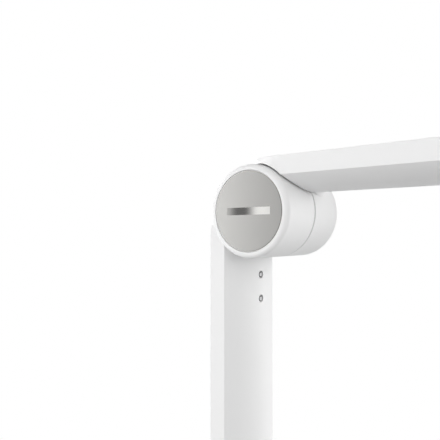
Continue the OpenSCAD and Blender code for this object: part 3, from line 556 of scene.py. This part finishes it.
@dataclass(frozen=True)
class CapMetal(Finish):
    """Aluminium disc: a fine-blasted anodised face, and a slot cut bright after anodising.

    The clear oxide film over the blasted face scatters part of the light, so the face is less of
    a mirror than the bright slot. The edge is painted pale, a painted highlight of the lit wall
    round the disc. Inside it a dull grey line is painted shade of the gap round the disc, set a
    little off centre so that it is wider towards the front.
    """

    radius_mm: float
    face_mm: float
    slot_roughness: float = 0.1
    face_metallic: float = 0.72
    # The pale edge is a painted highlight, standing in for light on the wall round the disc.
    edge_mm: float = 0.2
    edge: str = "#F1F0EE"
    # The grey line is painted shade of the gap round the disc, off centre so that it is wider
    # towards the front.
    painted_shade_mm: float = 0.35
    painted_shade_off_mm: Point = (0.0, 0.3, 0.05)
    painted_shade: str = "#A5A4A1"
    grain: Cloud = Cloud(0.35, 2.0)
    grain_depth_mm: float = 0.0002
    gloss_swing: float = 0.01

    def detail(self, tree: Tree, place: Socket) -> Inputs:
        """Draw the blasted face, the painted highlight and painted shade rings near its edge, and
        the bright slot.

        Args:
            tree: the material's node tree.
            place: the point on the piece.

        Returns:
            What the shader takes.
        """
        grain = put(tree, "ShaderNodeTexNoise", inputs=self.grain.at(place)).outputs["Fac"]
        gloss = put(
            tree,
            "ShaderNodeMapRange",
            inputs={
                "Value": grain,
                "To Min": self.roughness - self.gloss_swing,
                "To Max": self.roughness + self.gloss_swing,
            },
        ).outputs["Result"]
        # Both caps face along X, one each way.
        along = put(tree, "ShaderNodeSeparateXYZ", inputs={0: place}).outputs["X"]
        out = put(tree, "ShaderNodeMath", {"operation": "ABSOLUTE"}, {0: along}).outputs[0]
        on_face = put(
            tree, "ShaderNodeMath", {"operation": "GREATER_THAN"}, {0: out, 1: self.face_mm * MM}
        ).outputs[0]
        roughness = put(
            tree,
            "ShaderNodeMix",
            inputs={SHARE: on_face, NUMBER_A: self.slot_roughness, NUMBER_B: gloss},
        )
        from_middle = put(
            tree,
            "ShaderNodeVectorMath",
            {"operation": "SUBTRACT"},
            {0: place, 1: metres(ELBOW_MM)},
        ).outputs["Vector"]
        flat = put(
            tree,
            "ShaderNodeVectorMath",
            {"operation": "MULTIPLY"},
            {0: from_middle, 1: (0.0, 1.0, 1.0)},
        ).outputs["Vector"]
        shifted = put(
            tree,
            "ShaderNodeVectorMath",
            {"operation": "SUBTRACT"},
            {0: flat, 1: metres(self.painted_shade_off_mm)},
        ).outputs["Vector"]
        # Two rings: the pale painted highlight at the edge, and the off-centre painted shade inside
        # it.
        rings = []
        for spot, width_mm in ((flat, self.edge_mm), (shifted, self.painted_shade_mm)):
            radius = put(tree, "ShaderNodeVectorMath", {"operation": "LENGTH"}, {0: spot})
            ring = put(
                tree,
                "ShaderNodeMath",
                {"operation": "GREATER_THAN"},
                {0: radius.outputs["Value"], 1: (self.radius_mm - width_mm) * MM},
            )
            rings.append(ring.outputs[0])
        on_painted_highlight, on_painted_shade = rings
        metal = put(
            tree,
            "ShaderNodeMix",
            inputs={SHARE: on_face, NUMBER_A: 1.0, NUMBER_B: self.face_metallic},
        ).outputs[MIXED_NUMBER]
        metallic = put(
            tree, "ShaderNodeMix", inputs={SHARE: on_painted_highlight, NUMBER_A: metal, NUMBER_B: 0.0}
        )
        # Painted shade of the gap: the grey line over the face.
        painted_shade_colour = put(
            tree,
            "ShaderNodeMix",
            {"data_type": "RGBA"},
            {SHARE: on_painted_shade, COLOUR_A: linear(self.colour), COLOUR_B: linear(self.painted_shade)},
        ).outputs[MIXED_COLOUR]
        colour = put(
            tree,
            "ShaderNodeMix",
            {"data_type": "RGBA"},
            {SHARE: on_painted_highlight, COLOUR_A: painted_shade_colour, COLOUR_B: linear(self.edge)},
        )
        bump = put(
            tree, "ShaderNodeBump", inputs={"Height": grain, "Distance": self.grain_depth_mm * MM}
        )
        return {
            "Base Color": colour.outputs[MIXED_COLOUR],
            "Metallic": metallic.outputs[MIXED_NUMBER],
            "Roughness": roughness.outputs[MIXED_NUMBER],
            "Normal": bump.outputs["Normal"],
        }


@dataclass(frozen=True)
class CircuitBoard(Finish):
    """Glass-fibre laminate under solder mask.

    Copper tracks show as lighter lines through the mask, tinned vias as bright dots, and the weave
    of the glass as a faint unevenness. The real weave is about 0.6 mm and is drawn coarser, so
    that it shows at all.
    """

    track: str = "#2E8A56"
    tin: str = "#C9C9C4"
    tin_share: float = 0.1
    mask_tint: float = 0.9
    unit_mm: float = 4.0
    track_mm: float = 0.24
    track_length_mm: float = 9.2
    track_pitch_mm: float = 1.6
    via_mm: float = 5.0
    weave_mm: float = 3.77
    weave_depth_mm: float = 0.003
    weave_bend: float = 1.0
    # A Wave texture turns through so many radians in one unit of its scale.
    wave_radians: float = 20.0

    def detail(self, tree: Tree, place: Socket) -> Inputs:
        """Draw tracks, vias and weave.

        Args:
            tree: the material's node tree.
            place: the point on the piece.

        Returns:
            What the shader takes.
        """
        mask = linear(self.colour)
        tracks = put(
            tree,
            "ShaderNodeTexBrick",
            inputs={
                "Vector": place,
                "Color1": mask,
                "Color2": dimmed(mask, self.mask_tint),
                "Mortar": linear(self.track),
                "Scale": per_metre(self.unit_mm),
                "Mortar Size": self.track_mm / self.unit_mm,
                "Brick Width": self.track_length_mm / self.unit_mm,
                "Row Height": self.track_pitch_mm / self.unit_mm,
            },
        ).outputs["Color"]
        vias = put(
            tree, "ShaderNodeTexVoronoi", inputs={"Vector": place, "Scale": per_metre(self.via_mm)}
        )
        dot = put(
            tree,
            "ShaderNodeMath",
            {"operation": "LESS_THAN"},
            {0: vias.outputs["Distance"], 1: self.tin_share},
        ).outputs[0]
        colour = put(
            tree,
            "ShaderNodeMix",
            {"data_type": "RGBA"},
            {SHARE: dot, COLOUR_A: tracks, COLOUR_B: linear(self.tin)},
        )
        weave = put(
            tree,
            "ShaderNodeTexWave",
            inputs={
                "Vector": place,
                "Scale": per_metre(self.weave_mm) * math.tau / self.wave_radians,
                "Distortion": self.weave_bend,
            },
        )
        bump = put(
            tree,
            "ShaderNodeBump",
            inputs={"Height": weave.outputs["Fac"], "Distance": self.weave_depth_mm * MM},
        )
        return {"Base Color": colour.outputs[MIXED_COLOUR], "Normal": bump.outputs["Normal"]}


@dataclass(frozen=True)
class RubberSheet(Finish):
    """Moulded rubber: small dimples that grip the table, and a dry bloom of dust in them."""

    dimple_mm: float = 2.4
    dimple_stray: float = 0.15
    dimple_depth_mm: float = 0.12
    dust: str = "#4A4A4B"
    dust_cloud: Cloud = Cloud(22.0, 4.0)

    def detail(self, tree: Tree, place: Socket) -> Inputs:
        """Draw dimples and dust.

        Args:
            tree: the material's node tree.
            place: the point on the piece.

        Returns:
            What the shader takes.
        """
        cells = put(
            tree,
            "ShaderNodeTexVoronoi",
            inputs={
                "Vector": place,
                "Scale": per_metre(self.dimple_mm),
                "Randomness": self.dimple_stray,
            },
        ).outputs["Distance"]
        cloud = put(tree, "ShaderNodeTexNoise", inputs=self.dust_cloud.at(place)).outputs["Fac"]
        settled = put(
            tree, "ShaderNodeMath", {"operation": "MULTIPLY"}, {0: cells, 1: cloud}
        ).outputs[0]
        colour = put(
            tree,
            "ShaderNodeMix",
            {"data_type": "RGBA"},
            {SHARE: settled, COLOUR_A: linear(self.colour), COLOUR_B: linear(self.dust)},
        )
        bump = put(
            tree, "ShaderNodeBump", inputs={"Height": cells, "Distance": self.dimple_depth_mm * MM}
        )
        return {"Base Color": colour.outputs[MIXED_COLOUR], "Normal": bump.outputs["Normal"]}


@dataclass(frozen=True)
class FibreSheet(Finish):
    """Punched friction sheet: short pale fibres pressed in brown resin."""

    fibre: str = "#A98A66"
    fibres: Cloud = Cloud(1.2, 6.0, 2.5)
    fibre_depth_mm: float = 0.02

    def detail(self, tree: Tree, place: Socket) -> Inputs:
        """Draw fibres in resin.

        Args:
            tree: the material's node tree.
            place: the point on the piece.

        Returns:
            What the shader takes.
        """
        fibres = put(tree, "ShaderNodeTexNoise", inputs=self.fibres.at(place)).outputs["Fac"]
        colour = put(
            tree,
            "ShaderNodeMix",
            {"data_type": "RGBA"},
            {SHARE: fibres, COLOUR_A: linear(self.colour), COLOUR_B: linear(self.fibre)},
        )
        bump = put(
            tree, "ShaderNodeBump", inputs={"Height": fibres, "Distance": self.fibre_depth_mm * MM}
        )
        return {"Base Color": colour.outputs[MIXED_COLOUR], "Normal": bump.outputs["Normal"]}


@dataclass(frozen=True)
class ClearPiece(Finish):
    """Clear glass or resin with a few faint smears that dull its gloss.

    A film of the given thickness, in nanometres, is the coating that gives a lens its violet glint.
    """

    ior: float = 1.52
    smears: Cloud = Cloud(7.0, 4.0)
    # A smear starts where its cloud reaches the first share, and is full at the second.
    smear_from: float = 0.5
    smear_to: float = 0.75
    smear_dulls: float = 0.04
    film_nm: float = 0.0
    film_ior: float = 1.38

    def detail(self, tree: Tree, place: Socket) -> Inputs:
        """Draw the clear body and its smeared surface.

        Args:
            tree: the material's node tree.
            place: the point on the piece.

        Returns:
            What the shader takes.
        """
        smears = put(tree, "ShaderNodeTexNoise", inputs=self.smears.at(place)).outputs["Fac"]
        gloss = put(
            tree,
            "ShaderNodeMapRange",
            inputs={
                "Value": smears,
                "From Min": self.smear_from,
                "From Max": self.smear_to,
                "To Min": self.roughness,
                "To Max": self.roughness + self.smear_dulls,
            },
        )
        return {
            "Roughness": gloss.outputs["Result"],
            "Transmission Weight": 1.0,
            "IOR": self.ior,
            "Thin Film Thickness": self.film_nm,
            "Thin Film IOR": self.film_ior,
        }


# What each thing is made of. Moulded ABS is a neutral white with a satin grain; its buttons come
# from a smoother tool and are a touch greyer.
WHITE_ABS = MouldedPlastic("moulded_white_abs", "#F1F1F1", 0.45)
BUTTON_ABS = MouldedPlastic("smooth_moulded_white_abs", "#E6E6E6", 0.32, grain_depth_mm=0.002)
# Bright zinc is pale and slightly cloudy, from plating in a barrel.
ZINC_STEEL = Metal(
    "barrel_plated_zinc_steel", "#DADBDD", 0.34, marks=Cloud(0.3), tone=Cloud(2.0, 2.0)
)
# Pressed strip is greyer, with fine streaks along the way it was drawn.
PRESSED_STEEL = Metal("pressed_zinc_steel", "#BCBEC2", 0.36, MetalMarks.DRAWN_ALONG_Z)
# Rolled plate has long dark mill marks under its film of oil.
ROLLED_STEEL = Metal(
    "rolled_oiled_steel", "#A8ABAD", 0.4, MetalMarks.DRAWN_ALONG_Y, Cloud(0.8), 0.004
)
# A lathe leaves fine rings, which fan the light out round the axis.
TURNED_STEEL = TurnedMetal(
    "turned_steel", "#B9BBBE", 0.28, marks=Cloud(0.35), mark_depth_mm=0.003
)
# Hardening leaves a dark blue film with clouds of straw.
SPRING_STEEL = BluedSteel("hardened_blued_steel", "#46536B", 0.3)
# A block sawn from extruded bar keeps the straight lines of the die.
BAR_ALUMINIUM = Metal(
    "sawn_aluminium_bar", "#DADADB", 0.34, MetalMarks.DRAWN_ALONG_Z, mark_depth_mm=0.003
)
# Nickel is a smooth, slightly yellow mirror; gold over bronze is a softer, warmer one.
NICKEL_STEEL = Metal("drawn_nickel_steel", "#DEDCD6", 0.16, gloss_swing=0.03)
GOLD_BRONZE = Metal("gold_plated_bronze", "#E8C46A", 0.2, marks=Cloud(0.1), gloss_swing=0.04)
# Brass in small turned pieces is a clean yellow with a fine grain.
BRASS = Metal("turned_brass", "#DDB867", 0.27, marks=Cloud(0.3))
# Rubber is matt and nearly black, and greyer where dust lies in its dimples.
PAD_RUBBER = RubberSheet("moulded_black_rubber", "#29292A", 0.78)
# Acetal is a dense, slightly waxy cream white.
ACETAL = OpalPlastic("moulded_acetal", "#F0ECDF", 0.34, ior=1.48, scatter=0.25, scatter_mm=0.6)
# Friction sheet is a dull brown, flecked with its fibres.
FRICTION_SHEET = FibreSheet("punched_friction_sheet", "#7F5A3B", 0.8)
# Solder mask is a glossy green; on the light's board it is white, to throw the light back.
GREEN_BOARD = CircuitBoard("green_masked_laminate", "#1A6A40", 0.35)
WHITE_BOARD = CircuitBoard("white_masked_laminate", "#F2F3F3", 0.4, track="#D9DADA")
# Nylon is a dull near-black with a faint cloud from its flow.
BLACK_NYLON = MouldedPlastic("moulded_black_nylon", "#262627", 0.5, tint=0.9)
# A matt black that swallows stray light round the lens.
BLACK_POLYCARBONATE = MouldedPlastic(
    "matt_moulded_black_polycarbonate", "#1E1E1F", 0.55, ior=1.585, tint=0.9
)
# Cast epoxy over the sensor is a smooth blue-black.
SENSOR_EPOXY = MouldedPlastic("cast_black_epoxy", "#252B31", 0.15, tint=0.85, flow=Cloud(2.0))
# Phosphor makes the silicone of a white diode a milky yellow.
PHOSPHOR = OpalPlastic("cast_phosphor_silicone", "#F3DE84", 0.35, ior=1.41, scatter_mm=0.4)
# Moulded acrylic is clear, with the slight dullness of a tool that isn't polished.
CLEAR_RESIN = ClearPiece("clear_moulded_acrylic", "#F4F7F7", 0.03, ior=1.49)
# Float glass is flat and clear, and its smears show only in a reflection.
WINDOW_GLASS = ClearPiece("polished_float_glass", "#F3F7F6", 0.0)
# The coating of the lens cuts its reflection down to a violet glint.
LENS_GLASS = ClearPiece(
    "polished_coated_crown_glass", "#E9EEF4", 0.0, smear_dulls=0.0, film_nm=115.0
)
# Soft PVC is a satin dark grey, a little uneven from the extruder.
CABLE_PVC = MouldedPlastic("extruded_soft_pvc", "#454547", 0.55, tint=0.9, flow=Cloud(12.0))


# Sub-assemblies


@dataclass
class FinishStore:
    """Materials already made, so that pieces of one finish share one material."""

    made: dict[str, bpy.types.Material] = field(default_factory=dict)

    def lay(self, finish: Finish, item: bpy.types.Object) -> None:
        """Give a piece its finish.

        Args:
            finish: what it is made of.
            item: the piece.
        """
        if finish.name not in self.made:
            self.made[finish.name] = finish.build()
        item.data.materials.clear()
        item.data.materials.append(self.made[finish.name])
        LOG.info("%s: %s", item.name, finish.name)


@dataclass
class SubAssembly:
    """Pieces that are put together on the bench before they go into the scanner."""

    nodes: Mapping[str, bpy.types.Object]
    store: FinishStore
    # Steps of a rounded edge, and the bevel's own number for a round one.
    edge_steps: int = 2
    edge_round: float = 0.5

    def finishes(self) -> Mapping[str, Finish]:
        """The finish of each CAD node that belongs here."""
        raise NotImplementedError

    def build(self) -> None:
        """Add meshes of its own; most sub-assemblies are whole in the frame."""

    def block(self, mesh: bmesh.types.BMesh, centre: Vector, size: Vector, edge: float) -> None:
        """Add a block with rounded edges to a mesh.

        Args:
            mesh: the mesh that takes it.
            centre: its middle, in metres of the row frame.
            size: its lengths along X, Y and Z.
            edge: how far its edges are rounded.
        """
        shape = Matrix.Translation(centre) @ Matrix.Diagonal((*size, 1.0))
        made = bmesh.ops.create_cube(mesh, size=1.0, matrix=shape)
        edges = list({e for v in made["verts"] for e in v.link_edges})
        bmesh.ops.bevel(
            mesh,
            geom=edges,
            offset=edge,
            segments=self.edge_steps,
            profile=self.edge_round,
            affect="EDGES",
        )

    def add(
        self, name: str, mesh: bmesh.types.BMesh, body: str, slot: str, finish: Finish
    ) -> None:
        """Turn a mesh into a piece that rides on a body of the frame.

        Args:
            name: the piece's name.
            mesh: its shape, which is freed here.
            body: the body that carries it.
            slot: the record's material slot; it is not used.
            finish: what it is made of.
        """
        data = bpy.data.meshes.new(name)
        mesh.to_mesh(data)
        mesh.free()
        item = bpy.data.objects.new(name, data)
        bpy.context.scene.collection.objects.link(item)
        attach(item, body)
        self.store.lay(finish, item)

    def dress(self) -> None:
        """Lay every node's finish."""
        for name, finish in self.finishes().items():
            self.store.lay(finish, self.nodes[name])


@dataclass
class Base(SubAssembly):
    """Weighted base with its boards and the supply socket."""

    contacts_a_side: int = 6
    contact_pitch_mm: float = 0.85
    contact_mm: Point = (0.4, 4.2, 0.12)
    contact_edge_mm: float = 0.03
    contact_inset_mm: float = 1.3
    tongue_mm: float = 0.7

    def finishes(self) -> Mapping[str, Finish]:
        """Choose what the base is made of.

        Returns:
            The finish of each CAD node.
        """
        return {
            "base_shell": WHITE_ABS,
            "base_plate": ROLLED_STEEL,
            "base_pad": PAD_RUBBER,
            "base_screws": ZINC_STEEL,
            "main_board": GREEN_BOARD,
            "board_standoffs": BRASS,
            "board_screws": ZINC_STEEL,
            "tact_switches": BLACK_NYLON,
            "status_led": PHOSPHOR,
            "light_pipe": CLEAR_RESIN,
            "usb_socket": NICKEL_STEEL,
        }

    def build(self) -> None:
        """Lay the gold contacts on both faces of the socket's tongue."""
        low, high = (Vector(corner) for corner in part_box("usb_socket"))
        middle = (low + high) / 2
        size = Vector(self.contact_mm) * MM
        along = high.y - self.contact_inset_mm * MM - size.y / 2
        mesh = bmesh.new()
        for row in range(self.contacts_a_side):
            across = (row - (self.contacts_a_side - 1) / 2) * self.contact_pitch_mm * MM
            for side in (-1, 1):
                height = middle.z + side * self.tongue_mm * MM / 2
                centre = Vector((middle.x + across, along, height))
                self.block(mesh, centre, size, self.contact_edge_mm * MM)
        self.add("socket_contacts", mesh, "stand", "socket_steel", GOLD_BRONZE)


@dataclass
class Controls(SubAssembly):
    """Push buttons in the base."""

    buttons: tuple[str, ...] = ("scan_button", "power_button", "light_button")

    def finishes(self) -> Mapping[str, Finish]:
        """The same finish for every button."""
        return dict.fromkeys(self.buttons, BUTTON_ABS)


@dataclass
class Bar(SubAssembly):
    """A D-section bar that ends at the elbow, with two sunk screws in its belly."""

    screws_from_axis_mm: tuple[float, float] = (34.1, 47.4)

    def belly_screws(self, name: str, away: Point) -> SunkScrews:
        """Choose the finish of the bar's two screws.

        Args:
            name: the material's name.
            away: the direction along the bar, away from the elbow.

        Returns:
            Zinc that is bright on the faces of this bar's screws.
        """
        first, last = self.screws_from_axis_mm
        middle = (first + last) / 2
        return SunkScrews(
            name,
            "#F2F3F4",
            0.3,
            marks=Cloud(0.3),
            tone=Cloud(2.0, 2.0),
            middle_mm=tuple(c + d * middle for c, d in zip(ELBOW_MM, away, strict=True)),
            row=away,
            pitch_mm=last - first,
        )


@dataclass
class Post(Bar):
    """Upright bar with its foot."""

    def finishes(self) -> Mapping[str, Finish]:
        """Choose what the post is made of.

        Returns:
            The finish of each CAD node.
        """
        screws = self.belly_screws("barrel_plated_zinc_post_screws", (0.0, 0.0, -1.0))
        return {
            "post_housing": WHITE_ABS,
            "post_cover": WHITE_ABS,
            "post_bracket_screws": screws,
            "post_foot": BAR_ALUMINIUM,
            "foot_screws": ZINC_STEEL,
            "foot_lock_screw": ZINC_STEEL,
            "post_cable": CABLE_PVC,
        }


@dataclass
class Elbow(SubAssembly):
    """Friction hinge between post and arm, with the two metal caps."""

    cap_radius_mm: float = 20.7
    # Further out than this from the middle of the elbow is a cap's face, and not its slot.
    cap_face_mm: float = 26.15

    def finishes(self) -> Mapping[str, Finish]:
        """Choose what the elbow is made of.

        Returns:
            The finish of each CAD node.
        """
        # Blasting and anodising turn aluminium into an even silver grey that changes slowly
        # across the disc.
        cap = CapMetal(
            "blasted_anodised_aluminium", "#F5F4F1", 0.145, self.cap_radius_mm, self.cap_face_mm
        )
        return {
            "post_cap": cap,
            "arm_cap": cap,
            "post_bracket": PRESSED_STEEL,
            "arm_bracket": PRESSED_STEEL,
            "hinge_shaft": TURNED_STEEL,
            "lock_nut": TURNED_STEEL,
            "flange_screws": ZINC_STEEL,
            "hinge_bush": ACETAL,
            "seam_washer": ACETAL,
            "friction_washer": FRICTION_SHEET,
            "disc_spring": SPRING_STEEL,
        }


@dataclass
class Arm(Bar):
    """Bar that reaches out over the book."""

    lip_mm: Point = (41.8, 3.0, 2.0)
    lip_edge_mm: float = 0.1

    def finishes(self) -> Mapping[str, Finish]:
        """Choose what the arm is made of.

        Returns:
            The finish of each CAD node.
        """
        screws = self.belly_screws("barrel_plated_zinc_arm_screws", (0.0, -1.0, 0.0))
        return {
            "arm_housing": WHITE_ABS,
            "arm_cover": WHITE_ABS,
            "arm_bracket_screws": screws,
            "arm_cable": CABLE_PVC,
        }

    def build(self) -> None:
        """Add the lip that carries the cover on to the arm's solid tip."""
        low, high = (Vector(corner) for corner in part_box("arm_cover"))
        size = Vector(self.lip_mm) * MM
        centre = Vector(((low.x + high.x) / 2, low.y - size.y / 2, high.z - size.z / 2))
        mesh = bmesh.new()
        self.block(mesh, centre, size, self.lip_edge_mm * MM)
        self.add("cover_lip", mesh, "arm", "white_plastic", WHITE_ABS)


@dataclass
class LightStrip(SubAssembly):
    """Row of diodes behind an opal strip in the arm's belly."""

    glow_mm: float = 1.5

    def finishes(self) -> Mapping[str, Finish]:
        """Choose what the light is made of.

        Returns:
            The finish of each CAD node.
        """
        # Opal polycarbonate is milky: the rows of diodes behind it don't show while they are off.
        opal = OpalPlastic(
            "opal_moulded_polycarbonate",
            "#F6F6F2",
            0.3,
            ior=1.585,
            grain_depth_mm=0.002,
            scatter_mm=self.glow_mm,
        )
        return {
            "light_diffuser": opal,
            "led_board": WHITE_BOARD,
            "leds": PHOSPHOR,
            "led_board_screws": ZINC_STEEL,
        }


@dataclass
class CameraHead(SubAssembly):
    """Camera at the arm's end: bezel, window, lens and sensor."""

    ring_mm: float = 0.25
    ring_depth_mm: float = 0.01

    def finishes(self) -> Mapping[str, Finish]:
        """Choose what the camera is made of.

        Returns:
            The finish of each CAD node.
        """
        low, high = (Vector(corner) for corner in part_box("lens_barrel"))
        # The black dye in the oxide hides part of the metal, and the lathe's rings still glint.
        barrel = TurnedMetal(
            "turned_black_anodised_aluminium",
            "#2C2C2E",
            0.4,
            marks=Cloud(self.ring_mm),
            mark_depth_mm=self.ring_depth_mm,
            metallic=0.6,
            centre_mm=tuple((low + high) / 2 / MM),
            axis=(0.0, 0.0, 1.0),
        )
        return {
            "camera_bezel": BLACK_POLYCARBONATE,
            "camera_window": WINDOW_GLASS,
            "lens_barrel": barrel,
            "lens_glass": LENS_GLASS,
            "lens_holder": BLACK_NYLON,
            "image_sensor": SENSOR_EPOXY,
            "camera_board": GREEN_BOARD,
            "camera_board_screws": ZINC_STEEL,
        }


# Studio


@dataclass(frozen=True)
class SoftBox:
    """A square soft light that faces the elbow.

    It stands turn_deg from +Y towards +X, and rise_deg above the level of the elbow. Its distance
    and its side are in metres.
    """

    name: str
    turn_deg: float
    rise_deg: float
    watts: float
    distance: float = 1.3
    side: float = 1.0

    def build(self) -> bpy.types.Object:
        """Make the lamp.

        Returns:
            The lamp object, turned towards the elbow.
        """
        lamp = bpy.data.lights.new(self.name, "AREA")
        lamp.shape = "SQUARE"
        lamp.size = self.side
        lamp.energy = self.watts
        item = bpy.data.objects.new(self.name, lamp)
        turn, rise = math.radians(self.turn_deg), math.radians(self.rise_deg)
        level = math.cos(rise)
        away = Vector((level * math.sin(turn), level * math.cos(turn), math.sin(rise)))
        item.location = Vector(metres(ELBOW_MM)) + away * self.distance
        item.rotation_euler = away.to_track_quat("Z", "Y").to_euler()
        item.visible_camera = False
        # What metal sees of the studio is the world's horizon, so no lamp shows twice.
        item.visible_glossy = False
        bpy.context.scene.collection.objects.link(item)
        LOG.info("%s: %.1f W", self.name, self.watts)
        return item


@dataclass
class Studio:
    """Camera, light and floor."""

    camera_place_mm: Point = (-233.9, -128.8, 338.9)
    camera_turn_deg: float = -50.7594
    camera_pitch_deg: float = 1.4673
    camera_near_mm: float = 10.0
    lens_mm: float = 41.605
    sensor_mm: float = 36.0
    backdrop: str = "#FFFFFF"
    # What metal sees round the horizon: degrees from +Y towards +X, and brightness. A white
    # backdrop stands behind the object, a dark gap beside it, and softer walls on the camera's
    # side.
    horizon: tuple[tuple[float, float], ...] = (
        (-180.0, 0.45),
        (-110.0, 0.6),
        (-84.0, 0.7),
        (-67.0, 0.14),
        (-59.5, 0.14),
        (-44.0, 0.86),
        (-39.0, 0.88),
        (-28.0, 0.78),
        (-10.0, 1.0),
        (25.0, 1.0),
        (70.0, 0.6),
        (105.0, 0.6),
        (130.0, 0.9),
        (150.0, 0.6),
        (180.0, 0.45),
    )
    floor_side: float = 3.0
    floor_colour: str = "#B2B2B2"
    floor_lift: float = 0.38
    # The floor fades to the white backdrop between these distances from the base, in metres.
    fade_from: float = 0.25
    fade_to: float = 0.52
    boxes: tuple[SoftBox, ...] = (
        SoftBox("back_left_box", -20.0, 8.0, 7.8, side=0.8),
        SoftBox("back_side_box", -40.0, 20.0, 1.0),
        SoftBox("left_box", -73.0, 8.0, 9.2, side=0.8),
        SoftBox("camera_side_box", -120.0, 20.0, 2.2),
        SoftBox("front_box", -160.0, 20.0, 6.5),
        SoftBox("right_front_box", 120.0, 20.0, 8.2),
        SoftBox("high_right_box", 60.0, 50.0, 3.5),
        SoftBox("low_right_box", 120.0, -4.0, 2.2, 1.0, 0.5),
        SoftBox("low_front_box", 160.0, -4.0, 1.7, 1.0, 0.5),
    )

    def build_camera(self) -> None:
        """Stand the camera where the photograph was taken from."""
        lens = bpy.data.cameras.new("photo_camera")
        lens.lens = self.lens_mm
        lens.sensor_width = self.sensor_mm
        lens.clip_start = self.camera_near_mm * MM
        item = bpy.data.objects.new("photo_camera", lens)
        item.location = metres(self.camera_place_mm)
        # A camera looks straight down until it is raised by a quarter turn.
        raised = math.pi / 2 + math.radians(self.camera_pitch_deg)
        item.rotation_euler = (raised, 0.0, math.radians(self.camera_turn_deg))
        bpy.context.scene.collection.objects.link(item)
        bpy.context.scene.camera = item

    def build_world(self) -> None:
        """Make it white to the camera and through glass, and a studio round the horizon in metal.

        It gives the object no light of its own: that comes from the lamps.
        """
        world = bpy.data.worlds.new("studio")
        bpy.context.scene.world = world
        world.use_nodes = True
        tree = world.node_tree
        tree.nodes.clear()
        ray = put(tree, "ShaderNodeLightPath").outputs
        way = put(tree, "ShaderNodeTexCoord").outputs["Generated"]
        axes = put(tree, "ShaderNodeSeparateXYZ", inputs={0: way}).outputs
        turn = put(tree, "ShaderNodeMath", {"operation": "ARCTAN2"}, {0: axes["X"], 1: axes["Y"]})
        place = put(
            tree,
            "ShaderNodeMapRange",
            inputs={"Value": turn.outputs[0], "From Min": -math.pi, "From Max": math.pi},
        )
        round_room = put(tree, "ShaderNodeValToRGB", inputs={"Fac": place.outputs["Result"]})
        ramp = round_room.color_ramp
        ramp.interpolation = "EASE"
        # A new ramp has its first and its last stop already.
        for degrees, _ in self.horizon[1:-1]:
            ramp.elements.new(math.radians(degrees) / math.tau + 1 / 2)
        for stop, (_, level) in zip(ramp.elements, self.horizon, strict=True):
            stop.color = (level, level, level, 1.0)
        room = put(tree, "ShaderNodeBackground", inputs={"Color": round_room.outputs["Color"]})
        plain = put(tree, "ShaderNodeBackground", inputs={"Color": linear(self.backdrop)})
        in_metal = put(
            tree, "ShaderNodeMixShader", inputs={0: ray["Is Glossy Ray"], 2: room.outputs[0]}
        )
        seen = put(
            tree,
            "ShaderNodeMath",
            {"operation": "MAXIMUM"},
            {0: ray["Is Camera Ray"], 1: ray["Is Transmission Ray"]},
        )
        result = put(
            tree,
            "ShaderNodeMixShader",
            inputs={0: seen.outputs[0], 1: in_metal.outputs[0], 2: plain.outputs[0]},
        )
        put(tree, "ShaderNodeOutputWorld", inputs={"Surface": result.outputs[0]})

    def floor_material(self) -> bpy.types.Material:
        """Make the floor's paint.

        Returns:
            Matt paint near the object, where it keeps the shadow, and plain white further out to
            the camera, in metal and through glass.
        """
        material = bpy.data.materials.new("matt_white_floor")
        material.use_nodes = True
        tree = material.node_tree
        tree.nodes.clear()
        ray = put(tree, "ShaderNodeLightPath").outputs
        seen = ray["Is Camera Ray"]
        for kind in ("Is Glossy Ray", "Is Transmission Ray"):
            seen = put(
                tree, "ShaderNodeMath", {"operation": "MAXIMUM"}, {0: seen, 1: ray[kind]}
            ).outputs[0]
        place = put(tree, "ShaderNodeTexCoord").outputs["Object"]
        away = put(tree, "ShaderNodeVectorMath", {"operation": "LENGTH"}, {0: place})
        fade = put(
            tree,
            "ShaderNodeMapRange",
            {"interpolation_type": "SMOOTHSTEP"},
            {
                "Value": away.outputs["Value"],
                "From Min": self.fade_from,
                "From Max": self.fade_to,
            },
        )
        far, lift = (
            put(tree, "ShaderNodeMath", {"operation": "MULTIPLY"}, {0: seen, 1: share}).outputs[0]
            for share in (fade.outputs["Result"], self.floor_lift)
        )
        matt = put(tree, "ShaderNodeBsdfDiffuse", inputs={"Color": linear(self.floor_colour)})
        glow = put(tree, "ShaderNodeEmission", inputs={"Strength": lift})
        near = put(tree, "ShaderNodeAddShader", inputs={0: matt.outputs[0], 1: glow.outputs[0]})
        white = put(tree, "ShaderNodeEmission", inputs={"Color": linear(self.backdrop)})
        both = put(
            tree,
            "ShaderNodeMixShader",
            inputs={0: far, 1: near.outputs[0], 2: white.outputs[0]},
        )
        put(tree, "ShaderNodeOutputMaterial", inputs={"Surface": both.outputs[0]})
        return material

    def build_floor(self) -> None:
        """Lay the floor under the rubber pad."""
        half = self.floor_side / 2
        mesh = bpy.data.meshes.new("floor")
        corners = [(-half, -half, 0.0), (half, -half, 0.0), (half, half, 0.0), (-half, half, 0.0)]
        mesh.from_pydata(corners, [], [(0, 1, 2, 3)])
        mesh.materials.append(self.floor_material())
        floor = bpy.data.objects.new("floor", mesh)
        bpy.context.scene.collection.objects.link(floor)

    def build(self) -> None:
        """Set up camera, world, floor and lamps."""
        self.build_camera()
        self.build_world()
        self.build_floor()
        for box in self.boxes:
            box.build()
        bpy.context.scene.view_settings.view_transform = "Standard"


def main() -> None:
    """Load the frame, dress the scanner and set up the studio."""
    logging.basicConfig(level=logging.INFO, format="%(message)s")
    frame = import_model()
    Studio().build()
    store = FinishStore()
    for kind in (Base, Controls, Post, Elbow, Arm, LightStrip, CameraHead):
        part = kind(frame["nodes"], store)
        part.build()
        part.dress()


if __name__ == "__main__":
    main()
